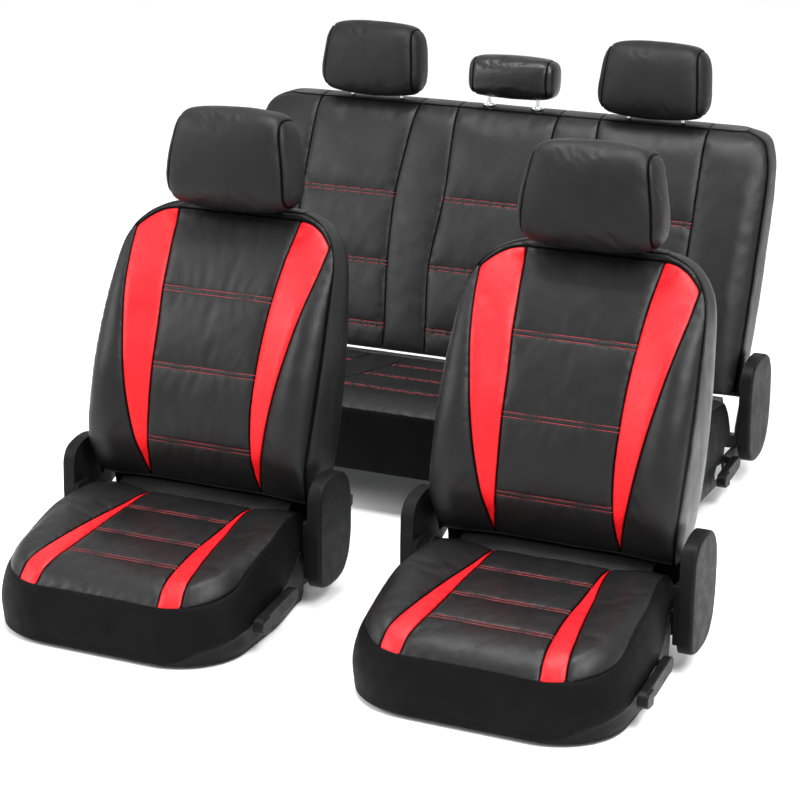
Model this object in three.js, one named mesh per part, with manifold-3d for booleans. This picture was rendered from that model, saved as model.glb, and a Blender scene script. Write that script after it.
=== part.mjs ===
// Car seat cover set: two front bucket seats and a rear bench, each dressed in its own covers.
// Units are millimetres, +Z is up, the seats face -Y and +X is the right-hand side seen from the front.
// The origin lies on the floor, under the middle of the bounding box of the whole set.
// Sections of a seat are written in the seat's own frame and each seat is then placed by its group.

import * as THREE from 'three';
import { mergeVertices } from 'three/addons/utils/BufferGeometryUtils.js';
import Module from 'manifold-3d';

const wasm = await Module();
wasm.setup();

// ---------------------------------------------------------------- driving dimensions

const FLOOR = -10;                 // floor level in the seat frames, just below the hem of the skirts
const SEAT_SPACING = 720;          // centre to centre of the two front seats
const BENCH_SHIFT = -190;          // bench centre, measured from the middle of the front pair
const SET_CENTRE = [-101, 381.5];  // middle of the bounding box in the seat frames

const COVER = 4;                   // thickness of a cover: leatherette bonded to a foam backing
const GAP = 0.4;                   // working clearance between neighbouring pieces
const INSERT_GAP = 0.35;           // clearance round a coloured insert

const CUSHION_HALF = 233;          // front cushion, half width at the piped seam
const CUSHION_FRONT = -407;
const CUSHION_REAR = 22;
const BACK_BOTTOM = 178;           // lower edge of the front backrest cover
const BACK_TOP = 688;
const PIVOT_FRONT = [5, 120];      // recline axis of a front seat, y and z
const HEADREST_TILT = 0.06;        // lean of the front headrest posts, in radians

const BENCH_HALF = 604;            // bench cushion, half width at the piped seam
const BENCH_FRONT = 432;
const BENCH_REAR = 868;
const BENCH_BACK_HALF = 612;
const BENCH_BACK_BOTTOM = 200;
const BENCH_BACK_TOP = 720;
const BENCH_HEADREST_TILT = 0.12;  // lean of the bench headrest posts, in radians
const PIVOT_BENCH = [960, 235];    // folding axis of the bench backrest, y and z

// ---------------------------------------------------------------- small helpers

// Smooth interpolation through a short table of [position, value] pairs.
function along(table, position) {
  if (position <= table[0][0]) return table[0][1];
  const last = table.length - 1;
  if (position >= table[last][0]) return table[last][1];
  let k = 0;
  while (table[k + 1][0] < position) k += 1;
  const slope = (i) => {
    const a = table[Math.max(i - 1, 0)];
    const b = table[Math.min(i + 1, last)];
    return (b[1] - a[1]) / (b[0] - a[0]);
  };
  const [x0, y0] = table[k];
  const [x1, y1] = table[k + 1];
  const h = x1 - x0;
  const t = (position - x0) / h;
  const t2 = t * t;
  const t3 = t2 * t;
  return (2 * t3 - 3 * t2 + 1) * y0 + (t3 - 2 * t2 + t) * h * slope(k)
    + (3 * t2 - 2 * t3) * y1 + (t3 - t2) * h * slope(k + 1);
}

function ramp(a, b, value) {
  const t = Math.min(Math.max((value - a) / (b - a), 0), 1);
  return t * t * (3 - 2 * t);
}

function weld(geometry) {
  const copy = geometry.clone();
  copy.deleteAttribute('normal');
  copy.deleteAttribute('uv');
  return mergeVertices(copy, 1e-4);
}

function solid(geometry) {
  const merged = weld(geometry);
  return new wasm.Manifold(new wasm.Mesh({
    numProp: 3,
    vertProperties: new Float32Array(merged.attributes.position.array),
    triVerts: new Uint32Array(merged.index.array),
  }));
}

function fromSolid(body) {
  const mesh = body.getMesh();
  const geometry = new THREE.BufferGeometry();
  geometry.setAttribute('position', new THREE.BufferAttribute(new Float32Array(mesh.vertProperties), 3));
  geometry.setIndex(new THREE.BufferAttribute(new Uint32Array(mesh.triVerts), 1));
  return geometry;
}

function join(...bodies) {
  return bodies.reduce((a, b) => a.add(b));
}

// A closed skin over a stack of rings with equal point counts, closed by a fan at each end.
function skin(rings) {
  const n = rings[0].length;
  const points = rings.flat();
  const index = [];
  for (let r = 0; r < rings.length - 1; r += 1) {
    for (let i = 0; i < n; i += 1) {
      const j = (i + 1) % n;
      const a = r * n + i;
      const b = r * n + j;
      index.push(a, b, b + n, a, b + n, a + n);
    }
  }
  const middle = (ring) => ring.reduce((s, p) => s.map((v, k) => v + p[k] / n), [0, 0, 0]);
  const bottom = points.push(middle(rings[0])) - 1;
  const top = points.push(middle(rings[rings.length - 1])) - 1;
  const base = (rings.length - 1) * n;
  for (let i = 0; i < n; i += 1) {
    const j = (i + 1) % n;
    index.push(bottom, j, i);
    index.push(top, base + i, base + j);
  }
  const geometry = new THREE.BufferGeometry();
  geometry.setAttribute('position', new THREE.BufferAttribute(new Float32Array(points.flat()), 3));
  geometry.setIndex(index);
  return geometry;
}

function box(x0, x1, y0, y1, z0, z1) {
  const geometry = new THREE.BoxGeometry(x1 - x0, y1 - y0, z1 - z0);
  geometry.translate((x0 + x1) / 2, (y0 + y1) / 2, (z0 + z1) / 2);
  return solid(geometry);
}

function rodX(x0, x1, y, z, radius, sides = 10) {
  const geometry = new THREE.CylinderGeometry(radius, radius, x1 - x0, sides);
  geometry.rotateZ(Math.PI / 2);
  geometry.translate((x0 + x1) / 2, y, z);
  return solid(geometry);
}

function shapeOf(points) {
  return new THREE.Shape(points.map(([u, v]) => new THREE.Vector2(u, v)));
}

// Prism over an outline in the y-z plane, from x0 to x1.
function prismX(points, x0, x1, bevel = 0) {
  const geometry = new THREE.ExtrudeGeometry(shapeOf(points), {
    depth: x1 - x0 - 2 * bevel,
    bevelEnabled: bevel > 0,
    bevelThickness: bevel,
    bevelSize: bevel,
    bevelOffset: -bevel,
    bevelSegments: 1,
  });
  geometry.translate(0, 0, bevel);
  geometry.applyMatrix4(new THREE.Matrix4().set(0, 0, 1, x0, 1, 0, 0, 0, 0, 1, 0, 0, 0, 0, 0, 1));
  return solid(geometry);
}

// Prism over an outline in the x-y plane, from z0 to z1.
function prismZ(points, z0, z1) {
  const geometry = new THREE.ExtrudeGeometry(shapeOf(points), { depth: z1 - z0, bevelEnabled: false });
  geometry.translate(0, 0, z0);
  return solid(geometry);
}

// Prism over an outline in the x-z plane, from y0 to y1.
function prismY(points, y0, y1) {
  const geometry = new THREE.ExtrudeGeometry(shapeOf(points), { depth: y1 - y0, bevelEnabled: false });
  geometry.applyMatrix4(new THREE.Matrix4().set(1, 0, 0, 0, 0, 0, -1, y1, 0, 1, 0, 0, 0, 0, 0, 1));
  return solid(geometry);
}

// Rounded rectangle in plan: 2 corners of radius rf at the front, 2 of radius rr at the rear.
function plan(half, front, rear, rf, rr) {
  const points = [];
  const corner = (cx, cy, radius, from, steps) => {
    for (let i = 0; i <= steps; i += 1) {
      const a = from + (i / steps) * Math.PI / 2;
      points.push([cx + radius * Math.cos(a), cy + radius * Math.sin(a)]);
    }
  };
  const between = (a, b, steps) => {
    for (let i = 1; i < steps; i += 1) {
      points.push([a[0] + (b[0] - a[0]) * i / steps, a[1] + (b[1] - a[1]) * i / steps]);
    }
  };
  corner(-half + rf, front + rf, rf, Math.PI, 4);
  between([-half + rf, front], [half - rf, front], 3);
  corner(half - rf, front + rf, rf, -Math.PI / 2, 4);
  between([half, front + rf], [half, rear - rr], 4);
  corner(half - rr, rear - rr, rr, 0, 1);
  between([half - rr, rear], [-half + rr, rear], 2);
  corner(-half + rr, rear - rr, rr, Math.PI / 2, 1);
  between([-half, rear - rr], [-half, front + rf], 4);
  return points;
}

// ---------------------------------------------------------------- seat cushions

// Every cushion is described by the same fields: plan outline, seam height, crown and hem.
const FRONT_CUSHION = {
  half: CUSHION_HALF,
  front: CUSHION_FRONT,
  rear: CUSHION_REAR,
  cornerFront: 118,
  cornerRear: 30,
  seam: [[-407, 105], [-385, 107], [-340, 113], [-300, 122], [-250, 142], [-200, 157], [-140, 168],
    [-75, 172], [-30, 163], [22, 142]],
  crown: [[-407, 105], [-398, 116], [-380, 127], [-350, 137], [-309, 143], [-220, 151], [-108, 157],
    [-55, 159], [-20, 155], [22, 138]],
  bolster: [[-400, 0], [-300, 6], [-200, 12], [-80, 14], [-30, 8], [22, 4]],
  bolsterFrom: 118,
  bolsterTo: 200,
  bulge: [[0, 0], [0.2, 12], [0.55, 22], [0.86, 20], [1, 18]],
  hem: 0,
  taper: [-120, -70, 0.93],
};

const BENCH_CUSHION = {
  half: BENCH_HALF,
  front: BENCH_FRONT,
  rear: BENCH_REAR,
  cornerFront: 90,
  cornerRear: 30,
  seam: [[432, 216], [470, 218], [600, 216], [750, 206], [868, 192]],
  crown: [[432, 216], [445, 225], [480, 232], [560, 231], [700, 219], [830, 203], [868, 192]],
  bolster: [[432, 0], [868, 0]],
  bolsterFrom: 400,
  bolsterTo: 560,
  bulge: [[0, 0], [0.2, 8], [0.55, 14], [0.86, 12], [1, 10]],
  hem: 86,
  taper: [2000, 2100, 1],
};

function cushionHeight(c, x, y, inset) {
  const lift = along(c.bolster, y) * ramp(c.bolsterFrom, c.bolsterTo, Math.abs(x));
  const full = along(c.crown, y) + lift;
  const seam = along(c.seam, y);
  const t = Math.min(inset / 30, 1);
  return seam + (full - seam) * Math.sin(t * Math.PI / 2);
}

function cushionPoint(c, p, z) {
  const [start, end, narrow] = c.taper;
  const width = 1 + (narrow - 1) * ramp(start, end, p[1]);
  return [p[0] * width, p[1], z];
}

// The body of a cushion, offset inwards by the distance d and cut off flat at the height low.
function cushionBody(c, d, low) {
  const rings = [];
  const depth = 60;
  const sides = [1, 0.55, 0.18, 0];
  for (const s of sides) {
    const out = along(c.bulge, s) - d;
    const front = c.front - 0.4 * (out + d) + d;
    const outline = plan(c.half + out, front, c.rear - d, c.cornerFront + out, c.cornerRear);
    if (s === 1) rings.push(outline.map((p) => cushionPoint(c, p, c.hem - depth)));
    rings.push(outline.map((p) => {
      const top = along(c.seam, p[1]) - d;
      return cushionPoint(c, p, c.hem + (top - c.hem) * (1 - s));
    }));
  }
  for (const inset of [12, 45, 120]) {
    const k = inset + d;
    const rf = Math.max(c.cornerFront - k, 14);
    const rr = Math.max(c.cornerRear - k, 10);
    const outline = plan(c.half - k, c.front + k, c.rear - k, rf, rr);
    rings.push(outline.map((p) => cushionPoint(c, p, cushionHeight(c, p[0], p[1], inset) - d)));
  }
  const whole = solid(skin(rings));
  if (low <= c.hem - depth) return whole;
  return whole.intersect(box(-900, 900, c.front - 200, c.rear + 200, low, 900));
}

// ---------------------------------------------------------------- backrests

const FRONT_BACK = {
  bottom: BACK_BOTTOM,
  top: BACK_TOP,
  half: [[178, 224], [260, 236], [350, 240], [450, 240], [550, 235], [610, 228], [645, 212], [668, 188],
    [680, 162], [688, 130]],
  face: [[178, 2], [225, -15], [267, -24], [340, -17], [408, 2], [475, 30], [543, 63], [610, 107],
    [650, 140], [680, 164], [688, 176]],
  seam: [[178, -30], [259, -38], [339, -12], [444, 26], [537, 66], [610, 104], [645, 128], [668, 150],
    [688, 178]],
  bolster: [[178, 22], [300, 27], [400, 27], [520, 20], [600, 10], [660, 3], [688, 0]],
  rear: [[178, 118], [250, 132], [350, 150], [470, 170], [590, 184], [650, 194], [680, 203], [688, 200]],
  bolsterFrom: 112,
  bolsterTo: 196,
  levels: [178, 250, 350, 460, 560, 630, 668, 688],
};

const BENCH_BACK = {
  bottom: BENCH_BACK_BOTTOM,
  top: BENCH_BACK_TOP,
  half: [[200, 604], [300, 610], [500, BENCH_BACK_HALF], [640, 610], [690, 598], [709, 580], [720, 545]],
  face: [[200, 884], [252, 897], [384, 943], [530, 1001], [640, 1048], [690, 1074], [709, 1090],
    [720, 1108]],
  seam: [[200, 912], [300, 942], [500, 1014], [640, 1066], [700, 1094], [720, 1116]],
  bolster: [[200, 0], [720, 0]],
  rear: [[200, 1014], [266, 1036], [430, 1092], [600, 1146], [695, 1174], [709, 1174], [720, 1160]],
  bolsterFrom: 440,
  bolsterTo: 560,
  levels: [200, 380, 600, 692, 720],
};

// Fractions of the half width where a section carries its points, from the middle to the seam.
const BACK_STATIONS = [0, 0.46, 0.66, 0.84, 0.94];

function backFace(b, x, z) {
  const half = along(b.half, z);
  const seam = along(b.seam, z);
  const face = along(b.face, z);
  const front = face - along(b.bolster, z) * ramp(b.bolsterFrom, b.bolsterTo, Math.abs(x));
  const edge = Math.max(half - 44, 0);
  const t = Math.min(Math.max((Math.abs(x) - edge) / 44, 0), 1);
  return front + (seam - front) * (1 - Math.sqrt(1 - t * t * 0.999));
}

// Half of a horizontal section, from the middle of the face round to the middle of the rear.
function backHalfSection(b, z, d) {
  const level = Math.min(Math.max(z, b.bottom), b.top);
  const half = along(b.half, level) - d;
  const rear = along(b.rear, level) - d;
  const seam = along(b.seam, level) + d;
  const points = BACK_STATIONS.map((s) => [s * half, backFace(b, s * (half + d), level) + d]);
  const depth = Math.max(rear - seam, 6);
  points.push([half, seam]);
  points.push([half + 1, seam + depth * 0.7]);
  points.push([half - 10, seam + depth * 0.92]);
  points.push([half - 34, rear]);
  points.push([half * 0.5, rear + 2]);
  return points;
}

function backSection(b, z, d, raise) {
  const right = backHalfSection(b, z, d);
  const left = right.slice(1).reverse().map(([x, y]) => [-x, y]);
  return [...right, [0, along(b.rear, z) - d + 3], ...left].map(([x, y]) => [x, y, raise]);
}

// The body of a backrest, offset inwards by d and cut off flat at the height low.
function backBody(b, d, low) {
  const rings = [backSection(b, b.bottom, d, b.bottom - 40)];
  for (const z of b.levels) {
    const drop = d * ramp(b.bottom, b.top, z);
    rings.push(backSection(b, z, d, z - drop));
  }
  return solid(skin(rings)).intersect(box(-900, 900, -300, 1500, low, 900));
}

// ---------------------------------------------------------------- coloured inserts

// Outline of a backrest insert in the x-z plane: broad at the shoulder, a point at the bottom.
function backInsertOutline(side, shrink) {
  const inner = [[182, 120], [225, 114], [267, 111], [340, 109], [408, 110], [475, 112], [543, 117],
    [610, 123], [676, 131]];
  const outer = [[182, 121], [225, 129], [267, 138], [340, 152], [408, 165], [475, 178], [543, 192],
    [600, 203], [640, 208]];
  const ends = (z) => z + (z < 190 ? 3 * shrink : 0) - (z > 670 ? 2 * shrink : 0);
  const up = inner.map(([z, x]) => [side * (x + shrink), ends(z)]);
  const down = outer.map(([z, x]) => [side * (Math.max(x, along(inner, z) + 2) - shrink), ends(z)]);
  return [...up, [side * (172 - shrink), 666 - 2 * shrink], ...down.reverse()];
}

// Outline of a cushion insert in plan: a point near the backrest, broad at the front seam.
function cushionInsertOutline(side, shrink) {
  const inner = [[2, 120], [-60, 116], [-108, 113], [-160, 111], [-220, 110], [-265, 111], [-309, 114],
    [-360, 119], [-394, 124]];
  const outer = [[2, 121], [-60, 124], [-108, 127], [-160, 132], [-220, 140], [-265, 147], [-309, 154],
    [-360, 162], [-386, 167]];
  const back = inner.map(([y, x]) => [side * (x + shrink), y + (y < -390 ? shrink : 0)]);
  const forth = outer.map(([y, x]) => [side * (x - shrink), y + (y < -380 ? shrink : 0)]);
  return [...back, ...forth.reverse()];
}

// ---------------------------------------------------------------- headrests

// Pillow with rounded edges: half width, half depth and half height about the given centre.
function pillow(halfX, halfY, halfZ, round, d, steps = 2) {
  const ring = (inset, z) => {
    const hx = halfX - d - inset;
    const hy = halfY - d - inset;
    const r = Math.max(round - inset, 6);
    const points = [];
    const [cx, cy] = [hx - r, hy - r];
    for (const [sx, sy, quarter] of [[1, 1, 0], [-1, 1, 1], [-1, -1, 2], [1, -1, 3]]) {
      for (let i = 0; i <= steps; i += 1) {
        const a = (quarter + i / steps) * Math.PI / 2;
        points.push([sx * cx + r * Math.cos(a), sy * cy + r * Math.sin(a), z]);
      }
    }
    return points;
  };
  const rings = [];
  const h = halfZ - d;
  for (let i = 0; i <= steps; i += 1) {
    const a = (i / steps) * Math.PI / 2;
    rings.push(ring(round * (1 - Math.sin(a)), -h + round * (1 - Math.cos(a))));
  }
  for (let i = 0; i <= steps; i += 1) {
    const a = (i / steps) * Math.PI / 2;
    rings.push(ring(round * (1 - Math.cos(a)), h - round * (1 - Math.sin(a))));
  }
  return solid(skin(rings));
}

// A U-shaped rod: two posts joined by a bar at the top.
function uRod(halfX, low, high, radius) {
  const left = rodZ(-halfX, 0, low, high, radius, 10);
  const right = rodZ(halfX, 0, low, high, radius, 10);
  const bar = rodX(-halfX, halfX, 0, high - radius, radius * 0.96, 10);
  return join(bar, left, right);
}

function rodZ(x, y, low, high, radius, sides = 10) {
  const geometry = new THREE.CylinderGeometry(radius, radius, high - low, sides);
  geometry.rotateX(Math.PI / 2);
  geometry.translate(x, y, (low + high) / 2);
  return solid(geometry);
}

// A guide: collar on top of the backrest with a sleeve below it, bored for the post.
function guideBody(radius, bore, collar, sleeve) {
  const profile = [
    [bore, -sleeve], [radius * 0.55, -sleeve], [radius * 0.55, 0], [radius, 0],
    [radius, collar * 0.5], [radius * 0.8, collar], [bore, collar], [bore, -sleeve],
  ].map(([x, y]) => new THREE.Vector2(x, y));
  const geometry = new THREE.LatheGeometry(profile, 10);
  geometry.rotateX(Math.PI / 2);
  return solid(geometry);
}

// ---------------------------------------------------------------- meshes and materials

const LOOK = {
  leather: { color: 0x1a1a1b, roughness: 0.45, metalness: 0 },
  matte: { color: 0x161616, roughness: 0.85, metalness: 0 },
  red: { color: 0xd8202a, roughness: 0.45, metalness: 0 },
  plastic: { color: 0x1f1f20, roughness: 0.55, metalness: 0 },
  foam: { color: 0x7d7f80, roughness: 0.95, metalness: 0 },
  steel: { color: 0x2b2c2e, roughness: 0.5, metalness: 0.6 },
  chrome: { color: 0xd0d2d4, roughness: 0.12, metalness: 1 },
};

function piece(name, body, look) {
  const mesh = new THREE.Mesh(fromSolid(body.simplify(0.12)), new THREE.MeshStandardMaterial(LOOK[look]));
  mesh.name = name;
  return mesh;
}

// ---------------------------------------------------------------- one front seat

const VALENCE_TOP = [[-420, 62], [-380, 62], [-300, 78], [-230, 88], [-160, 98], [-100, 104], [-76, 106]];
const HEM_RIGHT = [[-440, 0], [-400, 12], [-380, 30], [-300, 54], [-230, 63], [-160, 75], [-100, 91],
  [-66, 108], [60, 108]];
const RECLINER_OUTLINE = [[-70, 52], [-69, 150], [-66, 212], [-52, 234], [-20, 244], [14, 245],
  [44, 234], [62, 208], [68, 170], [66, 110], [56, 66], [34, 38], [4, 28], [-36, 28], [-60, 36]];

function cushionPieces(tag) {
  const c = FRONT_CUSHION;
  const outer = cushionBody(c, 0, c.hem);
  const hollow = cushionBody(c, COVER, c.hem - 60);
  const rearOpening = box(-208, 208, 4, 60, -30, 92);
  const hemLine = [...HEM_RIGHT, [60, -40], [-440, -40]];
  const sideCut = prismX(hemLine, 150, 300);
  const shell = outer.subtract(hollow).subtract(rearOpening).subtract(sideCut);
  let cover = shell;
  const parts = [];
  for (const [side, label] of [[-1, 'left'], [1, 'right']]) {
    cover = cover.subtract(prismZ(cushionInsertOutline(side, 0), 60, 230));
    const insert = shell.intersect(prismZ(cushionInsertOutline(side, INSERT_GAP), 60, 230));
    parts.push(piece(`${tag}_cushion_insert_${label}`, insert, 'red'));
  }
  const valenceClear = box(172, 300, -460, -4, -40, 128);
  const foam = cushionBody(c, COVER + GAP, 36)
    .subtract(valenceClear.intersect(cushionBody(c, 0, -60).subtract(cushionBody(c, 11.5, -60))));
  parts.push(piece(`${tag}_cushion_cover`, cover, 'leather'));
  parts.push(piece(`${tag}_cushion_foam`, foam, 'foam'));
  return parts;
}

// Plastic side shield: follows the cushion outline under the skirt and shows below the rising hem.
function valencePiece(tag) {
  const c = FRONT_CUSHION;
  const wall = cushionBody(c, COVER + 0.8, 0).subtract(cushionBody(c, COVER + 4.6, -60));
  const zone = prismX([[-460, -5], ...VALENCE_TOP.map(([y, z]) => [y - (y < -400 ? 40 : 0), z]),
    [-75, 50], [-14, 50], [-14, 14], [-60, 4], [-120, -5]], 176, 300);
  const window = prismX([[-272, 22], [-212, 20], [-196, 34], [-206, 50], [-266, 54], [-278, 40]], 220, 300);
  const hole = rodX(220, 300, -160, 58, 8);
  return piece(`${tag}_side_shield`, wall.intersect(zone).subtract(window).subtract(hole), 'plastic');
}

// Recline lever: a paddle hinged at its rear end on a short spindle through the side shield.
function leverPiece(tag) {
  const blade = prismX([[-146, 60], [-150, 72], [-166, 76], [-196, 72], [-262, 64], [-290, 62],
    [-296, 50], [-286, 38], [-240, 36], [-206, 40], [-176, 44], [-156, 46]], 259, 274, 3);
  const grip = prismX([[-294, 60], [-300, 44], [-288, 32], [-262, 30], [-262, 62]], 258, 278, 3);
  const spindle = rodX(244.8, 264, -160, 58, 7);
  return piece(`${tag}_recline_lever`, join(blade, grip, spindle), 'plastic');
}

// Recliner cover: a deep moulded shell over the recliner, open towards the seat.
function reclinerPiece(tag, side, label) {
  const [py, pz] = PIVOT_FRONT;
  const shell = prismX(RECLINER_OUTLINE, 251, 280, 6);
  const inward = RECLINER_OUTLINE.map(([y, z]) => [py + (y - py) * 0.88, 136 + (z - 136) * 0.92]);
  const pocket = prismX(inward, 240, 266);
  const exit = box(240, 264, 20, 90, 76, 222);
  const foot = box(240, 260, -20, 40, 10, 62);
  const body = shell.subtract(pocket).subtract(exit).subtract(foot);
  return piece(`${tag}_recliner_cover_${label}`, side > 0 ? body : body.mirror([1, 0, 0]), 'plastic');
}

// Seat base: cushion pan, upper rails, rear cross member and the two recliner brackets.
function basePiece(tag) {
  const [py, pz] = PIVOT_FRONT;
  let body = box(-200, 200, -360, 40, 28, 32);
  body = body.add(box(-232, 232, 27, 48, 28, 74));
  for (const side of [-1, 1]) {
    const x = side * 170;
    body = body.add(box(x - 7, x + 7, -330, 30, 7, 29));
    body = body.add(box(x - 14, x + 14, -330, 30, -3, 7));
    const inner = side * 241;
    const outer = side * 245;
    const plate = prismX([[-46, 66], [-30, 58], [52, 58], [52, 84], [30, 140], [5, 152], [-20, 140]],
      Math.min(inner, outer), Math.max(inner, outer));
    body = body.add(plate.subtract(rodX(side * 243 - 6, side * 243 + 6, py, pz, 8)));
    body = body.add(box(Math.min(side * 228, outer), Math.max(side * 228, outer), 27, 48, 58, 74));
  }
  return piece(`${tag}_seat_base`, body, 'steel');
}

// Floor rails: two C-section channels joined by flat cross straps, bolted to the floor.
function railPiece(tag) {
  let body = box(-190, 190, -270, -252, FLOOR, FLOOR + 3);
  body = body.add(box(-190, 190, 52, 70, FLOOR, FLOOR + 3));
  for (const side of [-1, 1]) {
    const x = side * 170;
    const section = [[x - 20, FLOOR], [x + 20, FLOOR], [x + 20, 11], [x + 8, 11], [x + 8, 8.5],
      [x + 17, 8.5], [x + 17, FLOOR + 3], [x - 17, FLOOR + 3], [x - 17, 8.5], [x - 8, 8.5],
      [x - 8, 11], [x - 20, 11]];
    body = body.add(prismY(section, -270, 70));
  }
  return piece(`${tag}_floor_rails`, body, 'steel');
}

// Steel backrest frame: pressed panel with ribs, lower cross tube and the two recliner arms.
function backFramePiece(tag) {
  const [py, pz] = PIVOT_FRONT;
  const panel = prismX([[97, 150], [100.2, 150], [161.2, 560], [158, 560]], -188, 188);
  let body = panel;
  for (const z of [240, 360, 480]) {
    const y = 97 + (z - 150) * 73 / 490 + 1.6;
    body = body.add(box(-150, 150, y, y + 7, z - 9, z + 9));
  }
  body = body.add(rodX(-259, 259, 100, 154, 9));
  for (const side of [-1, 1]) {
    const x0 = side > 0 ? 253 : -259;
    const arm = prismX([[py - 20, pz - 14], [py, pz - 24], [py + 22, pz - 14], [112, 142], [114, 160],
      [98, 168], [py + 14, pz + 22], [py - 8, pz + 24], [py - 22, pz + 10]], x0, x0 + 6);
    body = body.add(arm).add(rodX(side > 0 ? 239 : -256, side > 0 ? 256 : -239, py, pz, 7));
  }
  return piece(`${tag}_back_frame`, body, 'steel');
}

function backPieces(tag, guides) {
  const b = FRONT_BACK;
  const outer = backBody(b, 0, b.bottom);
  const hollow = backBody(b, COVER, b.bottom - 20);
  const shell = outer.subtract(hollow).subtract(guides);
  const frontHalf = prismX([[-130, 150], [60, 150], [58, 250], [74, 350], [102, 470], [140, 590],
    [168, 650], [184, 682], [184, 720], [-130, 720]], -300, 300);
  let cover = shell;
  const parts = [];
  for (const [side, label] of [[-1, 'left'], [1, 'right']]) {
    cover = cover.subtract(prismY(backInsertOutline(side, 0), -120, 190).intersect(frontHalf));
    const insert = shell.intersect(prismY(backInsertOutline(side, INSERT_GAP), -120, 190))
      .intersect(frontHalf);
    parts.push(piece(`${tag}_back_insert_${label}`, insert, 'red'));
  }
  const recess = prismX([[89, 100], [96.4, 150], [157.4, 561], [260, 561], [260, 100]], -200, 200);
  const foam = backBody(b, COVER + GAP, b.bottom + 4).subtract(recess).subtract(guides);
  parts.push(piece(`${tag}_back_cover`, cover, 'leather'));
  parts.push(piece(`${tag}_back_foam`, foam, 'foam'));
  return parts;
}

// Headrest: cover, foam pad and U rod. The pad sits in front of its posts and leans back a little more.
function headrestGroup(tag, spec) {
  const group = new THREE.Group();
  const { halfX, halfY, halfZ, round, postX, postLow, radius, centre, tilt, padY, padTilt } = spec;
  const pad = (d) => pillow(halfX, halfY, halfZ, round, d).rotate([-padTilt * 180 / Math.PI, 0, 0])
    .translate([0, padY, 0]);
  const mouth = spec.collar + 3;
  const slot = box(-postX - mouth, postX + mouth, -mouth, mouth, -halfZ - 20, -halfZ + 30);
  const cover = pad(0).subtract(pad(COVER)).subtract(slot);
  const foam = pad(COVER + GAP).subtract(uRod(postX, -halfZ - 40, 5, radius + 0.6));
  group.add(piece(`${tag}_cover`, cover, 'leather'));
  if (spec.pad) group.add(piece(`${tag}_foam`, foam, 'foam'));
  group.add(piece(`${tag}_posts`, uRod(postX, postLow, 4, radius), 'chrome'));
  group.position.set(centre[0], centre[1], centre[2]);
  group.rotation.x = -tilt;
  return group;
}

// The centre of a headrest is the middle of its two posts, at the mid height of the pad.
const FRONT_HEADREST = {
  halfX: 142,
  halfY: 54,
  halfZ: 93,
  round: 40,
  postX: 70,
  postLow: -215,
  radius: 5.5,
  centre: [0, 180, 786],
  padY: -30,
  padTilt: 0.06,
  tilt: HEADREST_TILT,
  seat: -98,
  cup: 12.6,
  collar: 12,
  collarHeight: 3,
  pad: true,
};

// Clearance for the posts and guides through the top of a backrest.
function postClearance(spec, sleeveRadius, sleeveDepth) {
  let body = null;
  for (const side of [-1, 1]) {
    const x = side * spec.postX;
    const post = rodZ(x, 0, spec.postLow - 60, 0, spec.radius + 1);
    const sleeve = rodZ(x, 0, spec.seat - sleeveDepth, spec.seat + 30, sleeveRadius);
    const cup = rodZ(x, 0, spec.seat - GAP, spec.seat + 30, spec.cup);
    const both = post.add(sleeve).add(cup);
    body = body ? body.add(both) : both;
  }
  const [cx, cy, cz] = spec.centre;
  return body.rotate([-spec.tilt * 180 / Math.PI, 0, 0]).translate([cx, cy, cz]);
}

function guidePieces(tag, spec) {
  const group = new THREE.Group();
  for (const [side, label] of [[-1, 'left'], [1, 'right']]) {
    const body = guideBody(spec.collar, spec.radius + 0.5, spec.collarHeight, 26);
    const guide = piece(`${tag}_guide_${label}`, body, 'plastic');
    guide.position.set(side * spec.postX, 0, spec.seat);
    group.add(guide);
  }
  group.position.set(...spec.centre);
  group.rotation.x = -spec.tilt;
  return group;
}

function frontSeat(tag, x) {
  const seat = new THREE.Group();
  const head = FRONT_HEADREST;
  seat.add(railPiece(tag), basePiece(tag), valencePiece(tag), leverPiece(tag));
  seat.add(reclinerPiece(tag, 1, 'right'), reclinerPiece(tag, -1, 'left'));
  seat.add(...cushionPieces(tag));
  seat.add(backFramePiece(tag), ...backPieces(tag, postClearance(head, 7.9, 27)));
  seat.add(guidePieces(tag, head), headrestGroup(`${tag}_headrest`, head));
  seat.position.set(x, 0, 0);
  return seat;
}

// ---------------------------------------------------------------- the rear bench

const BENCH_HEM = [[300, 86], [430, 86], [520, 90], [640, 96], [760, 104], [840, 116], [1000, 120]];
const BENCH_RECLINER = [[872, 92], [868, 190], [874, 250], [892, 268], [930, 276], [972, 276], [1004, 262],
  [1022, 230], [1026, 170], [1020, 110], [1004, 74], [976, 52], [930, 46], [892, 58]];

function benchCushionPieces(tag) {
  const c = BENCH_CUSHION;
  const outer = cushionBody(c, 0, c.hem);
  const hollow = cushionBody(c, COVER, c.hem - 60);
  const rearOpening = box(-560, 560, c.rear - 20, c.rear + 60, 40, 140);
  const hemLine = [...BENCH_HEM, [1000, 40], [300, 40]];
  const sideCut = prismX(hemLine, 480, 700);
  const cover = outer.subtract(hollow).subtract(rearOpening).subtract(sideCut);
  const shield = box(440, 700, 380, 900, 20, 142);
  const clear = shield.intersect(cushionBody(c, 0, 20).subtract(cushionBody(c, 11.5, 20)));
  const foam = cushionBody(c, COVER + GAP, 106).subtract(clear);
  return [piece(`${tag}_cushion_cover`, cover, 'leather'), piece(`${tag}_cushion_foam`, foam, 'foam')];
}

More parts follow.
